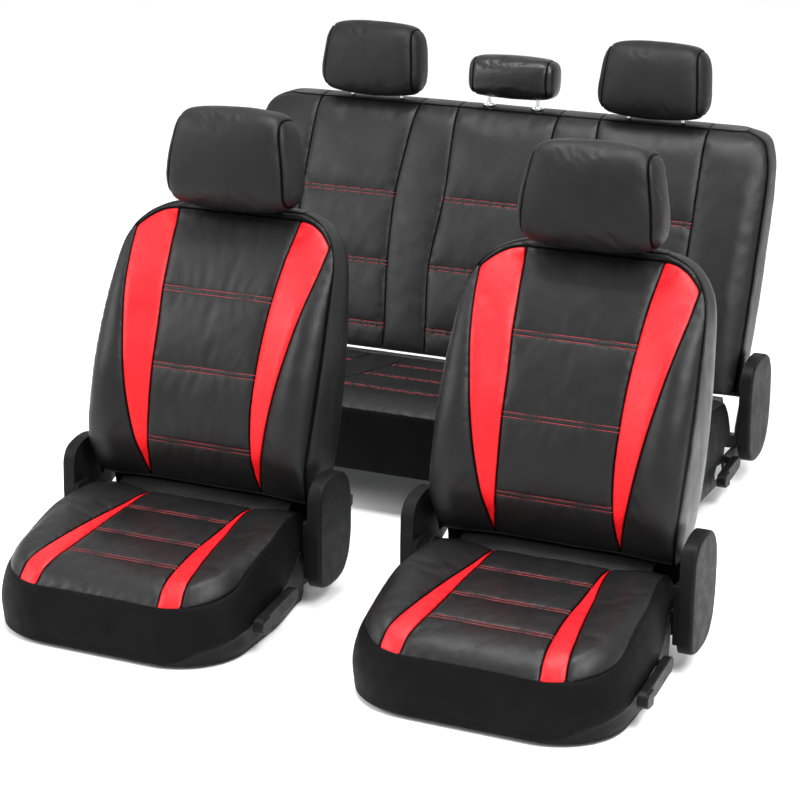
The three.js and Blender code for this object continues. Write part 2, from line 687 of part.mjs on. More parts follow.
// Side shield of the bench with its own cup for the release lever.
function benchShieldPiece(tag) {
  const c = BENCH_CUSHION;
  const wall = cushionBody(c, COVER + 0.8, 28).subtract(cushionBody(c, COVER + 4.6, 0));
  const tail = box(605.6, 609, 800, 985, 34, 82);
  const zone = prismX([[420, 44], [420, 122], [640, 126], [760, 132], [830, 134], [830, 32], [700, 32],
    [560, 36]], 470, 700);
  const window = prismX([[776, 44], [820, 42], [832, 54], [826, 70], [782, 76], [770, 62]], 560, 700);
  const hole = rodX(560, 700, 856, 66, 8);
  const body = wall.intersect(zone).add(tail).subtract(window).subtract(hole);
  return piece(`${tag}_side_shield`, body, 'plastic');
}

function benchLeverPiece(tag) {
  const blade = prismX([[866, 58], [866, 74], [852, 80], [826, 78], [776, 74], [752, 70], [746, 58],
    [756, 46], [806, 44], [836, 48], [860, 52]], 622, 637, 3);
  const grip = prismX([[748, 70], [742, 54], [752, 42], [780, 40], [780, 72]], 621, 641, 3);
  const spindle = rodX(606, 626, 856, 66, 7);
  return piece(`${tag}_release_lever`, join(blade, grip, spindle), 'plastic');
}

function benchReclinerPiece(tag, side, label) {
  const shell = prismX(BENCH_RECLINER, 624, 652, 6);
  const inward = BENCH_RECLINER.map(([y, z]) => [948 + (y - 948) * 0.86, 166 + (z - 166) * 0.9]);
  const pocket = prismX(inward, 610, 640);
  const exit = box(610, 638, 950, 1060, 120, 320);
  const body = shell.subtract(pocket).subtract(exit);
  return piece(`${tag}_recliner_cover_${label}`, side > 0 ? body : body.mirror([1, 0, 0]), 'plastic');
}

// Bench base: seat pan on four legs, with the two hinge brackets at its rear corners.
function benchBasePiece(tag) {
  const [py, pz] = PIVOT_BENCH;
  let body = box(-560, 560, 480, 900, 97, 100);
  body = body.add(box(-618, 618, 886, 906, 84, 112));
  for (const x of [-430, 430]) {
    for (const y of [540, 860]) {
      body = body.add(box(x - 20, x + 20, y - 20, y + 20, FLOOR + 4, 98));
      body = body.add(box(x - 45, x + 45, y - 35, y + 35, FLOOR, FLOOR + 6));
    }
    body = body.add(box(x - 12, x + 12, 540, 860, 40, 64));
  }
  for (const side of [-1, 1]) {
    const inner = Math.min(side * 614, side * 618);
    const plate = prismX([[886, 84], [944, 84], [952, 190], [py + 14, pz - 8], [py + 14, pz + 22],
      [py - 14, pz + 22], [936, 224], [886, 130]], inner, inner + 4);
    body = body.add(plate.subtract(rodX(inner - 3, inner + 7, py, pz, 9)));
  }
  return piece(`${tag}_base`, body, 'steel');
}

function benchBackFramePiece(tag) {
  const [py, pz] = PIVOT_BENCH;
  let body = prismX([[978, 168], [981.2, 168], [1106.2, 590], [1103, 590]], -540, 540);
  for (const z of [260, 400, 540]) {
    const y = 976 + (z - 168) * 0.296;
    body = body.add(box(-500, 500, y + 5.5, y + 15, z - 12, z + 12));
  }
  body = body.add(rodX(-633, 633, 988, 176, 11));
  for (const side of [-1, 1]) {
    const x0 = side > 0 ? 626 : -634;
    const outline = [[py - 20, pz - 14], [py - 2, pz - 22], [976, 166], [990, 162], [1001, 172],
      [1000, 190], [py + 22, pz + 8], [py + 8, pz + 24], [py - 12, pz + 22], [py - 24, pz + 4]];
    const arm = prismX(outline, x0, x0 + 8);
    body = body.add(arm).add(rodX(side > 0 ? 612.6 : -630, side > 0 ? 630 : -612.6, py, pz, 8));
  }
  return piece(`${tag}_back_frame`, body, 'steel');
}

const OUTER_HEADREST = {
  halfX: 127,
  halfY: 50,
  halfZ: 82,
  round: 38,
  postX: 62,
  postLow: -205,
  radius: 5.5,
  centre: [335, 1140, 812],
  padY: -20,
  padTilt: 0.05,
  tilt: BENCH_HEADREST_TILT,
  seat: -92,
  cup: 6.5,
  collar: 13,
};

const CENTRE_HEADREST = {
  halfX: 106,
  halfY: 42,
  halfZ: 47,
  round: 39,
  postX: 58,
  postLow: -175,
  radius: 5,
  centre: [0, 1138, 790],
  padY: -2,
  padTilt: 0,
  tilt: BENCH_HEADREST_TILT,
  seat: -67,
  cup: 15.6,
  collar: 15,
  collarHeight: 5,
};

function benchBackPieces(tag, clearances) {
  const b = BENCH_BACK;
  let cover = backBody(b, 0, b.bottom).subtract(backBody(b, COVER, b.bottom - 20));
  const recess = prismX([[963, 120], [977.4, 168], [1102.4, 591], [1300, 591], [1300, 120]], -552, 552);
  let foam = backBody(b, COVER + GAP, b.bottom + 4).subtract(recess);
  for (const clear of clearances) {
    cover = cover.subtract(clear);
    foam = foam.subtract(clear);
  }
  return [piece(`${tag}_back_cover`, cover, 'leather'), piece(`${tag}_back_foam`, foam, 'foam')];
}

function bench(tag, x) {
  const seat = new THREE.Group();
  const right = OUTER_HEADREST;
  const left = { ...OUTER_HEADREST, centre: [-right.centre[0], right.centre[1], right.centre[2]] };
  const clearances = [postClearance(left, 6.5, 8), postClearance(right, 6.5, 8),
    postClearance(CENTRE_HEADREST, 9.9, 27)];
  seat.add(benchBasePiece(tag), benchShieldPiece(tag), benchLeverPiece(tag));
  seat.add(benchReclinerPiece(tag, 1, 'right'), benchReclinerPiece(tag, -1, 'left'));
  seat.add(...benchCushionPieces(tag), benchBackFramePiece(tag), ...benchBackPieces(tag, clearances));
  seat.add(headrestGroup(`${tag}_headrest_left`, left), headrestGroup(`${tag}_headrest_right`, right));
  seat.add(headrestGroup(`${tag}_headrest_centre`, CENTRE_HEADREST), guidePieces(tag, CENTRE_HEADREST));
  seat.position.set(x, 0, 0);
  return seat;
}

const set = new THREE.Group();
set.add(frontSeat('front_left', -SEAT_SPACING / 2));
set.add(frontSeat('front_right', SEAT_SPACING / 2));
set.add(bench('rear', BENCH_SHIFT));
set.position.set(-SET_CENTRE[0], -SET_CENTRE[1], -FLOOR);
set.updateMatrixWorld(true);

export default set;
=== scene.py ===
"""Visual model of a car seat cover set: two front bucket seats and a rear bench in fitted covers.

Shapes are worked out in millimetres in each seat's own frame, as the CAD model is, and are then moved
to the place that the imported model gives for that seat. Sewn panels are cut as flat layouts whose
triangles follow every seam, lifted on to the seat's shape, puffed up by a cloth simulation between
the seams, and given thickness. Stitches are separate threads laid on the finished surface.
"""

import math

import bpy
import numpy as np
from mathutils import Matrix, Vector
from mathutils.bvhtree import BVHTree
from mathutils.geometry import delaunay_2d_cdt
from mathutils.kdtree import KDTree


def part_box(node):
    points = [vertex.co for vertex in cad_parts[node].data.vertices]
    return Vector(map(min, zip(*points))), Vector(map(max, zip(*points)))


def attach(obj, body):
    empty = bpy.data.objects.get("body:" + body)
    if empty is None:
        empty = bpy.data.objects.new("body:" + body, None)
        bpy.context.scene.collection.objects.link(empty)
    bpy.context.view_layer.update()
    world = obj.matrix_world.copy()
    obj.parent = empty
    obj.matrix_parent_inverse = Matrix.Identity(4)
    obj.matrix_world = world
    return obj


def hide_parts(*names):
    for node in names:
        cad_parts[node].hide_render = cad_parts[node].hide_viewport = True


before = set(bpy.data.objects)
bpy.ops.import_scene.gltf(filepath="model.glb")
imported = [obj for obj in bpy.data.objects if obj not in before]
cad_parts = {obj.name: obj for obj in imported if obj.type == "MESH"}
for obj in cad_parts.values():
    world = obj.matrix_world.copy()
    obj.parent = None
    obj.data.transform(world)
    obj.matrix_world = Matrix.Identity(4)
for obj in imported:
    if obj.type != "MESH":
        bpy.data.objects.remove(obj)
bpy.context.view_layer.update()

FRONT_TAGS = ("front_left", "front_right")

# ---- places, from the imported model

MM = 0.001
RAIL_FRONT = -270  # front end of the floor rails in a front seat's own frame, mm
FLOOR_LEVEL = -10  # floor level in every seat's own frame, mm
FOOT_FRONT = 480  # front edge of the bench base in its own frame, mm


def seat_origin(node, front_edge):
    low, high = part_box(node)
    return np.array([(low.x + high.x) / 2 / MM, low.y / MM - front_edge, low.z / MM - FLOOR_LEVEL])


ORIGIN = {tag: seat_origin(f"{tag}_floor_rails", RAIL_FRONT) for tag in FRONT_TAGS}
ORIGIN["rear"] = seat_origin("rear_base", FOOT_FRONT)

# ---- shape tables, as in the CAD model

FRONT_CUSHION = {
    "half": 233, "front": -407, "rear": 22, "corner_front": 118, "corner_rear": 30, "hem": 0,
    "seam": [[-407, 105], [-385, 107], [-340, 113], [-300, 122], [-250, 142], [-200, 157],
             [-140, 168], [-75, 172], [-30, 163], [22, 142]],
    "crown": [[-407, 105], [-398, 116], [-380, 127], [-350, 137], [-309, 143], [-220, 151],
              [-108, 157], [-55, 159], [-20, 155], [22, 138]],
    "bolster": [[-400, 0], [-300, 6], [-200, 12], [-80, 14], [-30, 8], [22, 4]],
    "bolster_from": 118, "bolster_to": 200,
    "bulge": [[0, 0], [0.2, 12], [0.55, 22], [0.86, 20], [1, 18]],
    "taper": (-190, -40, 0.93),
}
BENCH_CUSHION = {
    "half": 604, "front": 432, "rear": 868, "corner_front": 90, "corner_rear": 30, "hem": 86,
    "seam": [[432, 216], [470, 218], [600, 216], [750, 206], [868, 192]],
    "crown": [[432, 216], [445, 225], [480, 232], [560, 231], [700, 219], [830, 203], [868, 192]],
    "bolster": [[432, 0], [868, 0]],
    "bolster_from": 400, "bolster_to": 560,
    "bulge": [[0, 0], [0.2, 8], [0.55, 14], [0.86, 12], [1, 10]],
    "taper": (2000, 2100, 1),
}
FRONT_BACK = {
    "bottom": 178, "top": 688,
    "half": [[178, 224], [260, 236], [350, 240], [450, 240], [550, 235], [610, 228], [645, 212],
             [668, 188], [680, 162], [688, 130]],
    "face": [[178, 2], [225, -15], [267, -24], [340, -17], [408, 2], [475, 30], [543, 63],
             [610, 107], [650, 140], [680, 164], [688, 176]],
    "seam": [[178, -12], [205, -24], [259, -36], [339, -12], [444, 26], [537, 66], [610, 104], [645, 128],
             [668, 150], [688, 178]],
    "bolster": [[178, 9], [215, 20], [300, 27], [400, 27], [520, 20], [600, 10], [660, 3], [688, 0]],
    "rear": [[178, 118], [250, 132], [350, 150], [470, 170], [590, 184], [650, 194], [680, 203],
             [688, 200]],
    "bolster_from": 112, "bolster_to": 196,
}
BENCH_BACK = {
    "bottom": 200, "top": 720,
    "half": [[200, 604], [300, 610], [500, 612], [640, 610], [690, 598], [709, 580], [720, 545]],
    "face": [[200, 884], [252, 897], [384, 943], [530, 1001], [640, 1048], [690, 1074],
             [709, 1090], [720, 1108]],
    "seam": [[200, 912], [300, 942], [500, 1014], [640, 1066], [700, 1094], [720, 1116]],
    "bolster": [[200, 0], [720, 0]],
    "rear": [[200, 1014], [266, 1036], [430, 1092], [600, 1146], [695, 1174], [709, 1174],
             [720, 1160]],
    "bolster_from": 440, "bolster_to": 560,
}
EDGE_ROLL = 44  # width over which a backrest's face rolls back to its side seam, mm
CROWN_ROLL = 30  # the same on top of a cushion, mm

BACK_INSERT_INNER = [[182, 120], [225, 114], [267, 111], [340, 109], [408, 110], [475, 112],
                     [543, 117], [610, 123], [676, 131]]
BACK_INSERT_OUTER = [[182, 121], [225, 129], [267, 138], [340, 152], [408, 165], [475, 178],
                     [543, 192], [600, 203], [640, 208]]
SHOULDER = [(131, 677), (155, 673.5), (178, 664), (196, 651.5), (208, 640)]
CUSHION_INSERT_INNER = [[-394, 124], [-360, 119], [-309, 114], [-265, 111], [-220, 110],
                        [-160, 111], [-108, 113], [-60, 116], [2, 120]]
CUSHION_INSERT_OUTER = [[-386, 167], [-360, 162], [-309, 154], [-265, 147], [-220, 140],
                        [-160, 132], [-108, 127], [-60, 124], [2, 121]]
BACK_ROWS = (543, 408, 267)
CUSHION_ROWS = (-108, -220, -309)
HEM_RIGHT = [[-440, 0], [-400, 12], [-380, 30], [-300, 54], [-230, 63], [-160, 75], [-100, 91],
             [-66, 108], [60, 108]]
BENCH_HEM = [[300, 86], [430, 86], [520, 90], [640, 96], [760, 104], [840, 116], [1000, 120]]
BENCH_SEAMS = {
    "outer": [[200, 465], [530, 465], [720, 463]],
    "middle": [[200, 211], [252, 212], [384, 226], [530, 233], [640, 224], [720, 216]],
    "inner": [[200, 108], [252, 111], [388, 124], [532, 113], [640, 116], [720, 120]],
}
BENCH_ROWS = (530, 385, 252)
BENCH_CUSHION_SEAMS = {
    "inner": [[432, 205], [480, 188], [560, 160], [660, 136], [868, 116]],
    "middle": [[432, 262], [480, 250], [560, 236], [660, 224], [868, 212]],
    "outer": [[432, 470], [868, 464]],
}
BENCH_CUSHION_ROWS = (535, 640, 745)

# ---- numbers for the sewing

ROW_HALF = 4.0  # half the distance between the two stitch lines of a row, mm
SEAM_DEPTH = 2.2
SEAM_WIDTH = 2.4
STITCH_DEPTH = 0.9
STITCH_WIDTH = 1.9
BESIDE_SEAM = (2.0, 4.6)  # distances of the extra rows of points beside a seam, mm
BESIDE_EDGE = (2.0, 5.0)  # the same beside a panel's edge
LINE_CLEARANCE = 1.4  # least distance from those points to a line, mm
ROW_RATIO = 0.866  # distance between the rows of a grid of even triangles, for a side of 1
DEFLATED = 0.985  # size of a headrest pad before it is filled
LEATHER = 3.0  # thickness of a finished cover panel, mm
FABRIC = 2.0  # thickness of skirts and aprons, mm
FLAP = 2.5  # thickness of the tuck-in flaps, mm
SHIELD_WALL = 3.4  # thickness of the side shields, mm
LID_DOME = 4.0  # rise of a backrest's top between its front and rear edges, mm
NOISE_SEED = 7
FRONT_SPACING = 8.0  # size of the triangles in the front covers, mm
BENCH_SPACING = 12.0
PRESSURE = 6.0  # pressure that fills the panels in the cloth simulation
FAR = 1e6  # a distance that no seam reaches
SHARP_ANGLE = math.radians(38)

# ---- curves


def smooth(table, at):
    """Smooth curve through a short table of [position, value] rows."""
    xs, ys = np.array(table, float).T
    slope = np.gradient(ys, xs) if len(xs) > 2 else np.full(2, (ys[-1] - ys[0]) / (xs[-1] - xs[0]))
    slope[1:-1] = (ys[2:] - ys[:-2]) / (xs[2:] - xs[:-2])
    at = np.clip(np.asarray(at, float), xs[0], xs[-1])
    k = np.clip(np.searchsorted(xs, at, side="right") - 1, 0, len(xs) - 2)
    h = xs[k + 1] - xs[k]
    t = (at - xs[k]) / h
    return ((2 * t**3 - 3 * t**2 + 1) * ys[k] + (t**3 - 2 * t**2 + t) * h * slope[k]
            + (3 * t**2 - 2 * t**3) * ys[k + 1] + (t**3 - t**2) * h * slope[k + 1])


def ramp(a, b, value):
    t = np.clip((np.asarray(value, float) - a) / (b - a), 0, 1)
    return t * t * (3 - 2 * t)


def resample(points, step, closed=False):
    """Points spaced evenly along straight lines through the given points."""
    p = np.array(points, float)
    if closed:
        p = np.vstack([p, p[:1]])
    length = np.r_[0, np.cumsum(np.linalg.norm(np.diff(p, axis=0), axis=1))]
    count = max(int(round(length[-1] / step)), 2)
    at = np.linspace(0, length[-1], count + 1)
    out = np.stack([np.interp(at, length, p[:, i]) for i in range(p.shape[1])], 1)
    return out[:-1] if closed else out


def spline(points, count):
    """Smooth curve with `count` points through a few control points in space, ends included."""
    p = np.array(points, float)
    length = np.r_[0, np.cumsum(np.linalg.norm(np.diff(p, axis=0), axis=1))]
    at = np.linspace(0, length[-1], count)
    return np.stack([smooth(np.stack([length, p[:, i]], 1), at) for i in range(p.shape[1])], 1)


def round_corners(points, radius, steps=5):
    """Closed outline with each corner replaced by a short curve."""
    p = np.array(points, float)
    out = []
    for i in range(len(p)):
        a, b, c = p[i - 1], p[i], p[(i + 1) % len(p)]
        u = (a - b) / np.linalg.norm(a - b)
        v = (c - b) / np.linalg.norm(c - b)
        r = min(radius, np.linalg.norm(a - b) * 0.48, np.linalg.norm(c - b) * 0.48)
        for t in np.linspace(0, 1, steps):
            out.append((1 - t) ** 2 * (b + u * r) + 2 * t * (1 - t) * b + t * t * (b + v * r))
    return np.array(out)


def line_at(table, side, at):
    """Points of a seam, from its table of [position, distance from the middle] rows."""
    return np.column_stack([side * smooth(table, at), at])


def inside(polygon, points):
    """Which points lie inside a closed outline."""
    x, y = points[:, 0], points[:, 1]
    hit = np.zeros(len(points), bool)
    ax, ay = np.array(polygon, float).T
    bx, by = np.roll(ax, -1), np.roll(ay, -1)
    for x0, y0, x1, y1 in zip(ax, ay, bx, by):
        if y0 != y1:
            crossing = (y0 > y) != (y1 > y)
            hit ^= crossing & (x < (x1 - x0) * (y - y0) / (y1 - y0) + x0)
    return hit


def distance_to(samples, points):
    """Distance from each point to the nearest of the samples."""
    dim = samples.shape[1]
    tree = KDTree(len(samples))
    for i, s in enumerate(samples):
        tree.insert((s[0], s[1], s[2] if dim == 3 else 0), i)
    tree.balance()
    return np.array([tree.find((p[0], p[1], p[2] if dim == 3 else 0))[2] for p in points])


def waves(points, scale, seed):
    """Smooth, repeatable noise between about -1 and 1, from a few crossed sine waves."""
    rng = np.random.default_rng(NOISE_SEED + seed)
    total = np.zeros(len(points))
    for octave in range(4):
        for _ in range(3):
            direction = rng.normal(size=points.shape[1]) / np.asarray(scale) * 1.7**octave
            total += np.sin(points @ direction + rng.uniform(0, 6.28)) / 1.6**octave
    return total / 4


# ---- flat layouts of sewn panels


def side_points(line, offset):
    """Points beside a line, at a distance to each side of it."""
    tangent = np.gradient(line, axis=0)
    tangent /= np.maximum(np.linalg.norm(tangent, axis=1, keepdims=True), 1e-9)
    normal = np.stack([-tangent[:, 1], tangent[:, 0]], 1)
    return np.vstack([line + normal * offset, line - normal * offset])


def layout(outline, seams, spacing):
    """Triangles that fill an outline and follow every seam line. Returns 2-D points and faces."""
    edge_step = spacing * 0.6
    lines = [resample(s, edge_step) for s in seams]
    border = resample(outline, edge_step, closed=True)
    fixed = np.vstack([border, *lines])
    near = np.vstack([resample(outline, 1.5, closed=True), *[resample(s, 1.5) for s in seams]])
    beside = [side_points(line[1:-1], o) for line in lines for o in BESIDE_SEAM]
    beside += [side_points(border, o) for o in BESIDE_EDGE]
    low, high = border.min(0), border.max(0)
    xs = np.arange(low[0], high[0] + spacing, spacing)
    ys = np.arange(low[1], high[1] + spacing, spacing * ROW_RATIO)
    gx, gy = np.meshgrid(xs, ys)
    gx[1::2] += spacing / 2
    grid = np.stack([gx.ravel(), gy.ravel()], 1)
    beside = np.vstack(beside)
    beside = beside[inside(border, beside)]
    beside = beside[distance_to(near, beside) > LINE_CLEARANCE]
    grid = grid[inside(border, grid)]
    grid = grid[distance_to(np.vstack([near, beside]), grid) > spacing * 0.55]
    points = np.vstack([fixed, beside, grid])
    edges = []
    start = len(border)
    for line in lines:
        edges += [(start + i, start + i + 1) for i in range(len(line) - 1)]
        start += len(line)
    rim = list(range(len(border)))
    made = delaunay_2d_cdt([Vector(p) for p in points], edges, [rim], 1, 0.05)
    flat = np.array([(v.x, v.y) for v in made[0]])
    faces = np.array([f for f in made[2] if len(f) == 3])
    return flat, faces


# ---- meshes


def vertex_normals(points, faces):
    normal = np.zeros_like(points)
    for quad in (faces[:, [0, 1, 2]], faces[:, [0, 2, 3]]) if faces.shape[1] == 4 else (faces,):
        a, b, c = points[quad[:, 0]], points[quad[:, 1]], points[quad[:, 2]]
        n = np.cross(b - a, c - a)
        for k in range(3):
            np.add.at(normal, quad[:, k], n)
    return normal / np.maximum(np.linalg.norm(normal, axis=1, keepdims=True), 1e-12)


def grid_faces(rows, columns, wrap=False):
    """Quads over a table of points with that many rows and columns."""
    r, c = np.meshgrid(np.arange(rows - 1), np.arange(columns if wrap else columns - 1), indexing="ij")
    a = r * columns + c
    b = r * columns + (c + 1) % columns
    return np.stack([a, b, b + columns, a + columns], -1).reshape(-1, 4)


def mesh_object(name, points, faces, material, seam=None):
    """A new mesh object, from points in metres."""
    mesh = bpy.data.meshes.new(name)
    mesh.from_pydata([tuple(p) for p in points], [], [tuple(int(i) for i in f) for f in faces])
    # seam: strength of the painted shade along the seams, read by the leatherette materials.
    if seam is not None:
        attribute = mesh.attributes.new("seam", "FLOAT", "POINT")
        attribute.data.foreach_set("value", np.asarray(seam, np.float32))
    mesh.validate()
    mesh.materials.append(material)
    obj = bpy.data.objects.new(name, mesh)
    bpy.context.scene.collection.objects.link(obj)
    return obj


def thicken(obj, thickness):
    """Gives a sheet its thickness in mm, inwards from its outer face."""
    solid = obj.modifiers.new("thickness", "SOLIDIFY")
    solid.thickness = thickness * MM
    solid.offset = -1
    solid.use_even_offset = False
    solid.use_rim = True
    graph = bpy.context.evaluated_depsgraph_get()
    mesh = bpy.data.meshes.new_from_object(obj.evaluated_get(graph))
    obj.modifiers.clear()
    obj.data = mesh


# ---- cloth


CLOTH_FRAMES = 20
CLOTH = {
    "quality": 5, "mass": 0.15, "tension_stiffness": 12, "compression_stiffness": 8, "shear_stiffness": 5,
    "bending_stiffness": 2.0, "shrink_min": -0.005, "use_pressure": True, "vertex_group_mass": "pinned",
}


def puff(points, faces, pinned, pressure, cap):
    """Inflates a sewn sheet between its pinned seams. Points in mm; no point moves further than cap."""
    obj = mesh_object("sheet", points * MM, faces, MATERIAL["leather"])
    group = obj.vertex_groups.new(name="pinned")
    group.add([int(i) for i in np.flatnonzero(pinned)], 1.0, "REPLACE")
    cloth = obj.modifiers.new("cloth", "CLOTH")
    for key, value in CLOTH.items():
        setattr(cloth.settings, key, value)
    cloth.settings.uniform_pressure_force = pressure
    cloth.settings.effector_weights.gravity = 0
    cloth.collision_settings.use_collision = False
    cloth.point_cache.frame_start = 1
    cloth.point_cache.frame_end = CLOTH_FRAMES
    for step in range(1, CLOTH_FRAMES + 1):
        bpy.context.scene.frame_set(step)
    graph = bpy.context.evaluated_depsgraph_get()
    result = obj.evaluated_get(graph).to_mesh()
    moved = np.zeros(len(points) * 3, np.float32)
    result.vertices.foreach_get("co", moved)
    obj.evaluated_get(graph).to_mesh_clear()
    bpy.data.objects.remove(obj)
    bpy.context.scene.frame_set(1)
    shift = moved.reshape(-1, 3) / MM - points
    size = np.linalg.norm(shift, axis=1, keepdims=True)
    return points + shift * (cap * np.tanh(size / cap) / np.maximum(size, 1e-9))


# ---- materials


def socket(node, name):
    return next(s for s in node.inputs if s.name == name and s.enabled)


class Shader:
    """Small helper that builds a node material."""

    def __init__(self, name):
        self.material = bpy.data.materials.new(name)
        self.material.use_nodes = True
        self.tree = self.material.node_tree
        self.main = next(n for n in self.tree.nodes if n.type == "BSDF_PRINCIPLED")
        self.place = self.tree.nodes.new("ShaderNodeTexCoord")

    def add(self, kind, **values):
        node = self.tree.nodes.new(kind)
        for key, value in values.items():
            if hasattr(node, key):
                setattr(node, key, value)
            else:
                socket(node, key.replace("_", " ")).default_value = value
        return node

    def link(self, source, output, target, name):
        self.tree.links.new(source.outputs[output], socket(target, name))

    def noise(self, scale, detail=4, roughness=0.55, stretch=(1, 1, 1)):
        mapping = self.add("ShaderNodeMapping")
        mapping.inputs["Scale"].default_value = stretch
        self.link(self.place, "Object", mapping, "Vector")
        node = self.add("ShaderNodeTexNoise", Scale=scale, Detail=detail, Roughness=roughness)
        self.link(mapping, "Vector", node, "Vector")
        return node, "Fac"

    def cells(self, scale):
        node = self.add("ShaderNodeTexVoronoi", feature="DISTANCE_TO_EDGE", Scale=scale)
        self.link(self.place, "Object", node, "Vector")
        return node, "Distance"

    def map(self, source, low, high, out_low, out_high):
        node = self.add("ShaderNodeMapRange")
        for name, value in (("From Min", low), ("From Max", high), ("To Min", out_low),
                            ("To Max", out_high)):
            socket(node, name).default_value = value
        self.link(*source, node, "Value")
        return node, "Result"

    def math(self, operation, a, b):
        node = self.add("ShaderNodeMath", operation=operation)
        for i, value in enumerate((a, b)):
            if isinstance(value, tuple):
                self.tree.links.new(value[0].outputs[value[1]], node.inputs[i])
            else:
                node.inputs[i].default_value = value
        return node, "Value"

    def blend(self, factor, a, b):
        node = self.add("ShaderNodeMix", data_type="RGBA")
        self.link(*factor, node, "Factor")
        socket(node, "A").default_value = (*a, 1)
        if isinstance(b, tuple) and not isinstance(b[0], float):
            self.link(*b, node, "B")
        else:
            socket(node, "B").default_value = (*b, 1)
        return node, "Result"

    def bump(self, source, strength, distance, under=None):
        node = self.add("ShaderNodeBump", Strength=strength, Distance=distance)
        self.link(*source, node, "Height")
        if under:
            self.link(*under, node, "Normal")
        return node, "Normal"

    def wear(self, name, value):
        socket(self.main, name).default_value = value

    def drive(self, name, source):
        self.link(*source, self.main, name)


def leatherette(name, dark, light, rough, seam_shade_colour, grain, specular):
    """Synthetic leather: pebble grain, faint creases, colour drift, and painted shade along the seams as a
    dark line with lower gloss.
    """
    s = Shader(name)
    drift = s.map(s.noise(9, 3), 0.3, 0.7, 0, 1)
    # Painted shade along the seams: the seam attribute mixes the colour towards the seam shade colour.
    seam = s.add("ShaderNodeAttribute", attribute_name="seam")
    colour = s.blend(drift, dark, light)
    line = s.map((seam, "Fac"), 0.25, 0.75, 0, 1)
    mix = s.add("ShaderNodeMix", data_type="RGBA")
    s.link(*line, mix, "Factor")
    s.link(*colour, mix, "A")
    socket(mix, "B").default_value = (*seam_shade_colour, 1)
    s.drive("Base Color", (mix, "Result"))
    patches = s.noise(26, 4)
    s.drive("Roughness", s.map(patches, 0.3, 0.7, rough - 0.05, rough + 0.06))
    pebble = s.map(s.cells(620), 0, 0.32, 0, 1)
    fine = s.noise(1500, 2)
    height = s.math("ADD", pebble, s.math("MULTIPLY", fine, 0.35))
    first = s.bump(height, grain, 0.00018)
    crease = s.noise(16, 5, 0.62, (1.0, 1.0, 0.45))
    s.drive("Normal", s.bump(crease, 0.35, 0.0035, first))
    # Lower gloss in the painted seam shade, which keeps highlights off the groove edges.
    s.drive("Specular IOR Level", s.map(line, 0, 1, specular, 0.02))
    return s.material


def woven(name, dark, light, rough):
    """Matte skirt fabric: fine woven ribs and soft mottling."""
    s = Shader(name)
    s.drive("Base Color", s.blend(s.map(s.noise(14, 4), 0.3, 0.7, 0, 1), dark, light))
    s.drive("Roughness", s.map(s.noise(60, 3), 0.3, 0.7, rough - 0.05, min(rough + 0.06, 1)))
    wave = s.add("ShaderNodeTexWave", Scale=260.0, Distortion=0.6)
    s.link(s.place, "Object", wave, "Vector")
    first = s.bump((wave, "Fac"), 0.25, 0.0002)
    s.drive("Normal", s.bump(s.noise(18, 4), 0.3, 0.003, first))
    s.wear("Specular IOR Level", 0.06)
    return s.material


def plastic(name, dark, light, rough, grain=900):
    """Moulded plastic with a spark-eroded texture and slightly polished high spots."""
    s = Shader(name)
    s.drive("Base Color", s.blend(s.map(s.noise(30, 3), 0.35, 0.65, 0, 1), dark, light))
    s.drive("Roughness", s.map(s.noise(40, 4), 0.3, 0.7, rough - 0.06, rough + 0.08))
    s.drive("Normal", s.bump(s.noise(grain, 3), 0.3, 0.0003))
    s.wear("Specular IOR Level", 0.09)
    return s.material


def metal(name, colour, rough, metallic, coarse=120):
    """Painted steel or chrome, with faint unevenness."""
    s = Shader(name)
    lighter = tuple(min(c * 1.15 + 0.003, 1.0) for c in colour)
    s.drive("Base Color", s.blend(s.map(s.noise(coarse, 3), 0.3, 0.7, 0, 1), colour, lighter))
    s.drive("Roughness", s.map(s.noise(coarse, 4), 0.3, 0.7, max(rough - 0.03, 0.03), rough + 0.04))
    s.drive("Normal", s.bump(s.noise(coarse * 8, 2), 0.08, 0.0002))
    s.wear("Metallic", metallic)
    s.wear("Specular IOR Level", 0.25)
    return s.material


def thread(name, colour):
    """Twisted sewing thread."""
    s = Shader(name)
    dark = tuple(c * 0.6 for c in colour)
    s.drive("Base Color", s.blend(s.map(s.noise(900, 2), 0.3, 0.7, 0, 1), dark, colour))
    s.drive("Normal", s.bump(s.noise(2600, 2, 0.5, (1, 1, 3)), 0.5, 0.0002))
    s.wear("Roughness", 0.6)
    return s.material


BLACK = (0.0045, 0.0045, 0.0048)
BLACK_LIGHT = (0.007, 0.007, 0.0074)
# Colour of the painted shade in the seam grooves.
SEAM_SHADE_BLACK = (0.001, 0.001, 0.001)
# The fifth value of each leatherette is the colour of its painted seam shade.
MATERIAL = {
    "leather": leatherette("leatherette_black", BLACK, BLACK_LIGHT, 0.38, SEAM_SHADE_BLACK, 0.5, 0.21),
    "head": leatherette("leatherette_headrest", (0.004, 0.004, 0.0044), (0.007, 0.007, 0.0075), 0.48,
                        SEAM_SHADE_BLACK, 0.5, 0.17),
    "roll": leatherette("leatherette_roll", (0.004, 0.004, 0.0044), (0.006, 0.006, 0.0065), 0.3,
                        SEAM_SHADE_BLACK, 0.35, 0.3),
    "red": leatherette("leatherette_red", (0.60, 0.0045, 0.008), (0.72, 0.007, 0.012), 0.42,
                       (0.010, 0.001, 0.001), 0.4, 0.22),
    "skirt": woven("skirt_fabric", (0.0016, 0.0016, 0.0017), (0.0032, 0.0032, 0.0034), 0.62),
    "plastic": plastic("plastic_black", (0.003, 0.003, 0.0032), (0.005, 0.005, 0.0053), 0.5),
    "dark": plastic("plastic_dark", (0.003, 0.003, 0.003), (0.006, 0.006, 0.006), 0.42),
    "steel": metal("steel_black", (0.008, 0.008, 0.009), 0.45, 0.0),
    "chrome": metal("chrome", (0.78, 0.79, 0.80), 0.10, 1.0, 60),
    "thread": thread("thread_red", (0.30, 0.006, 0.010)),
}

# ---- cushions


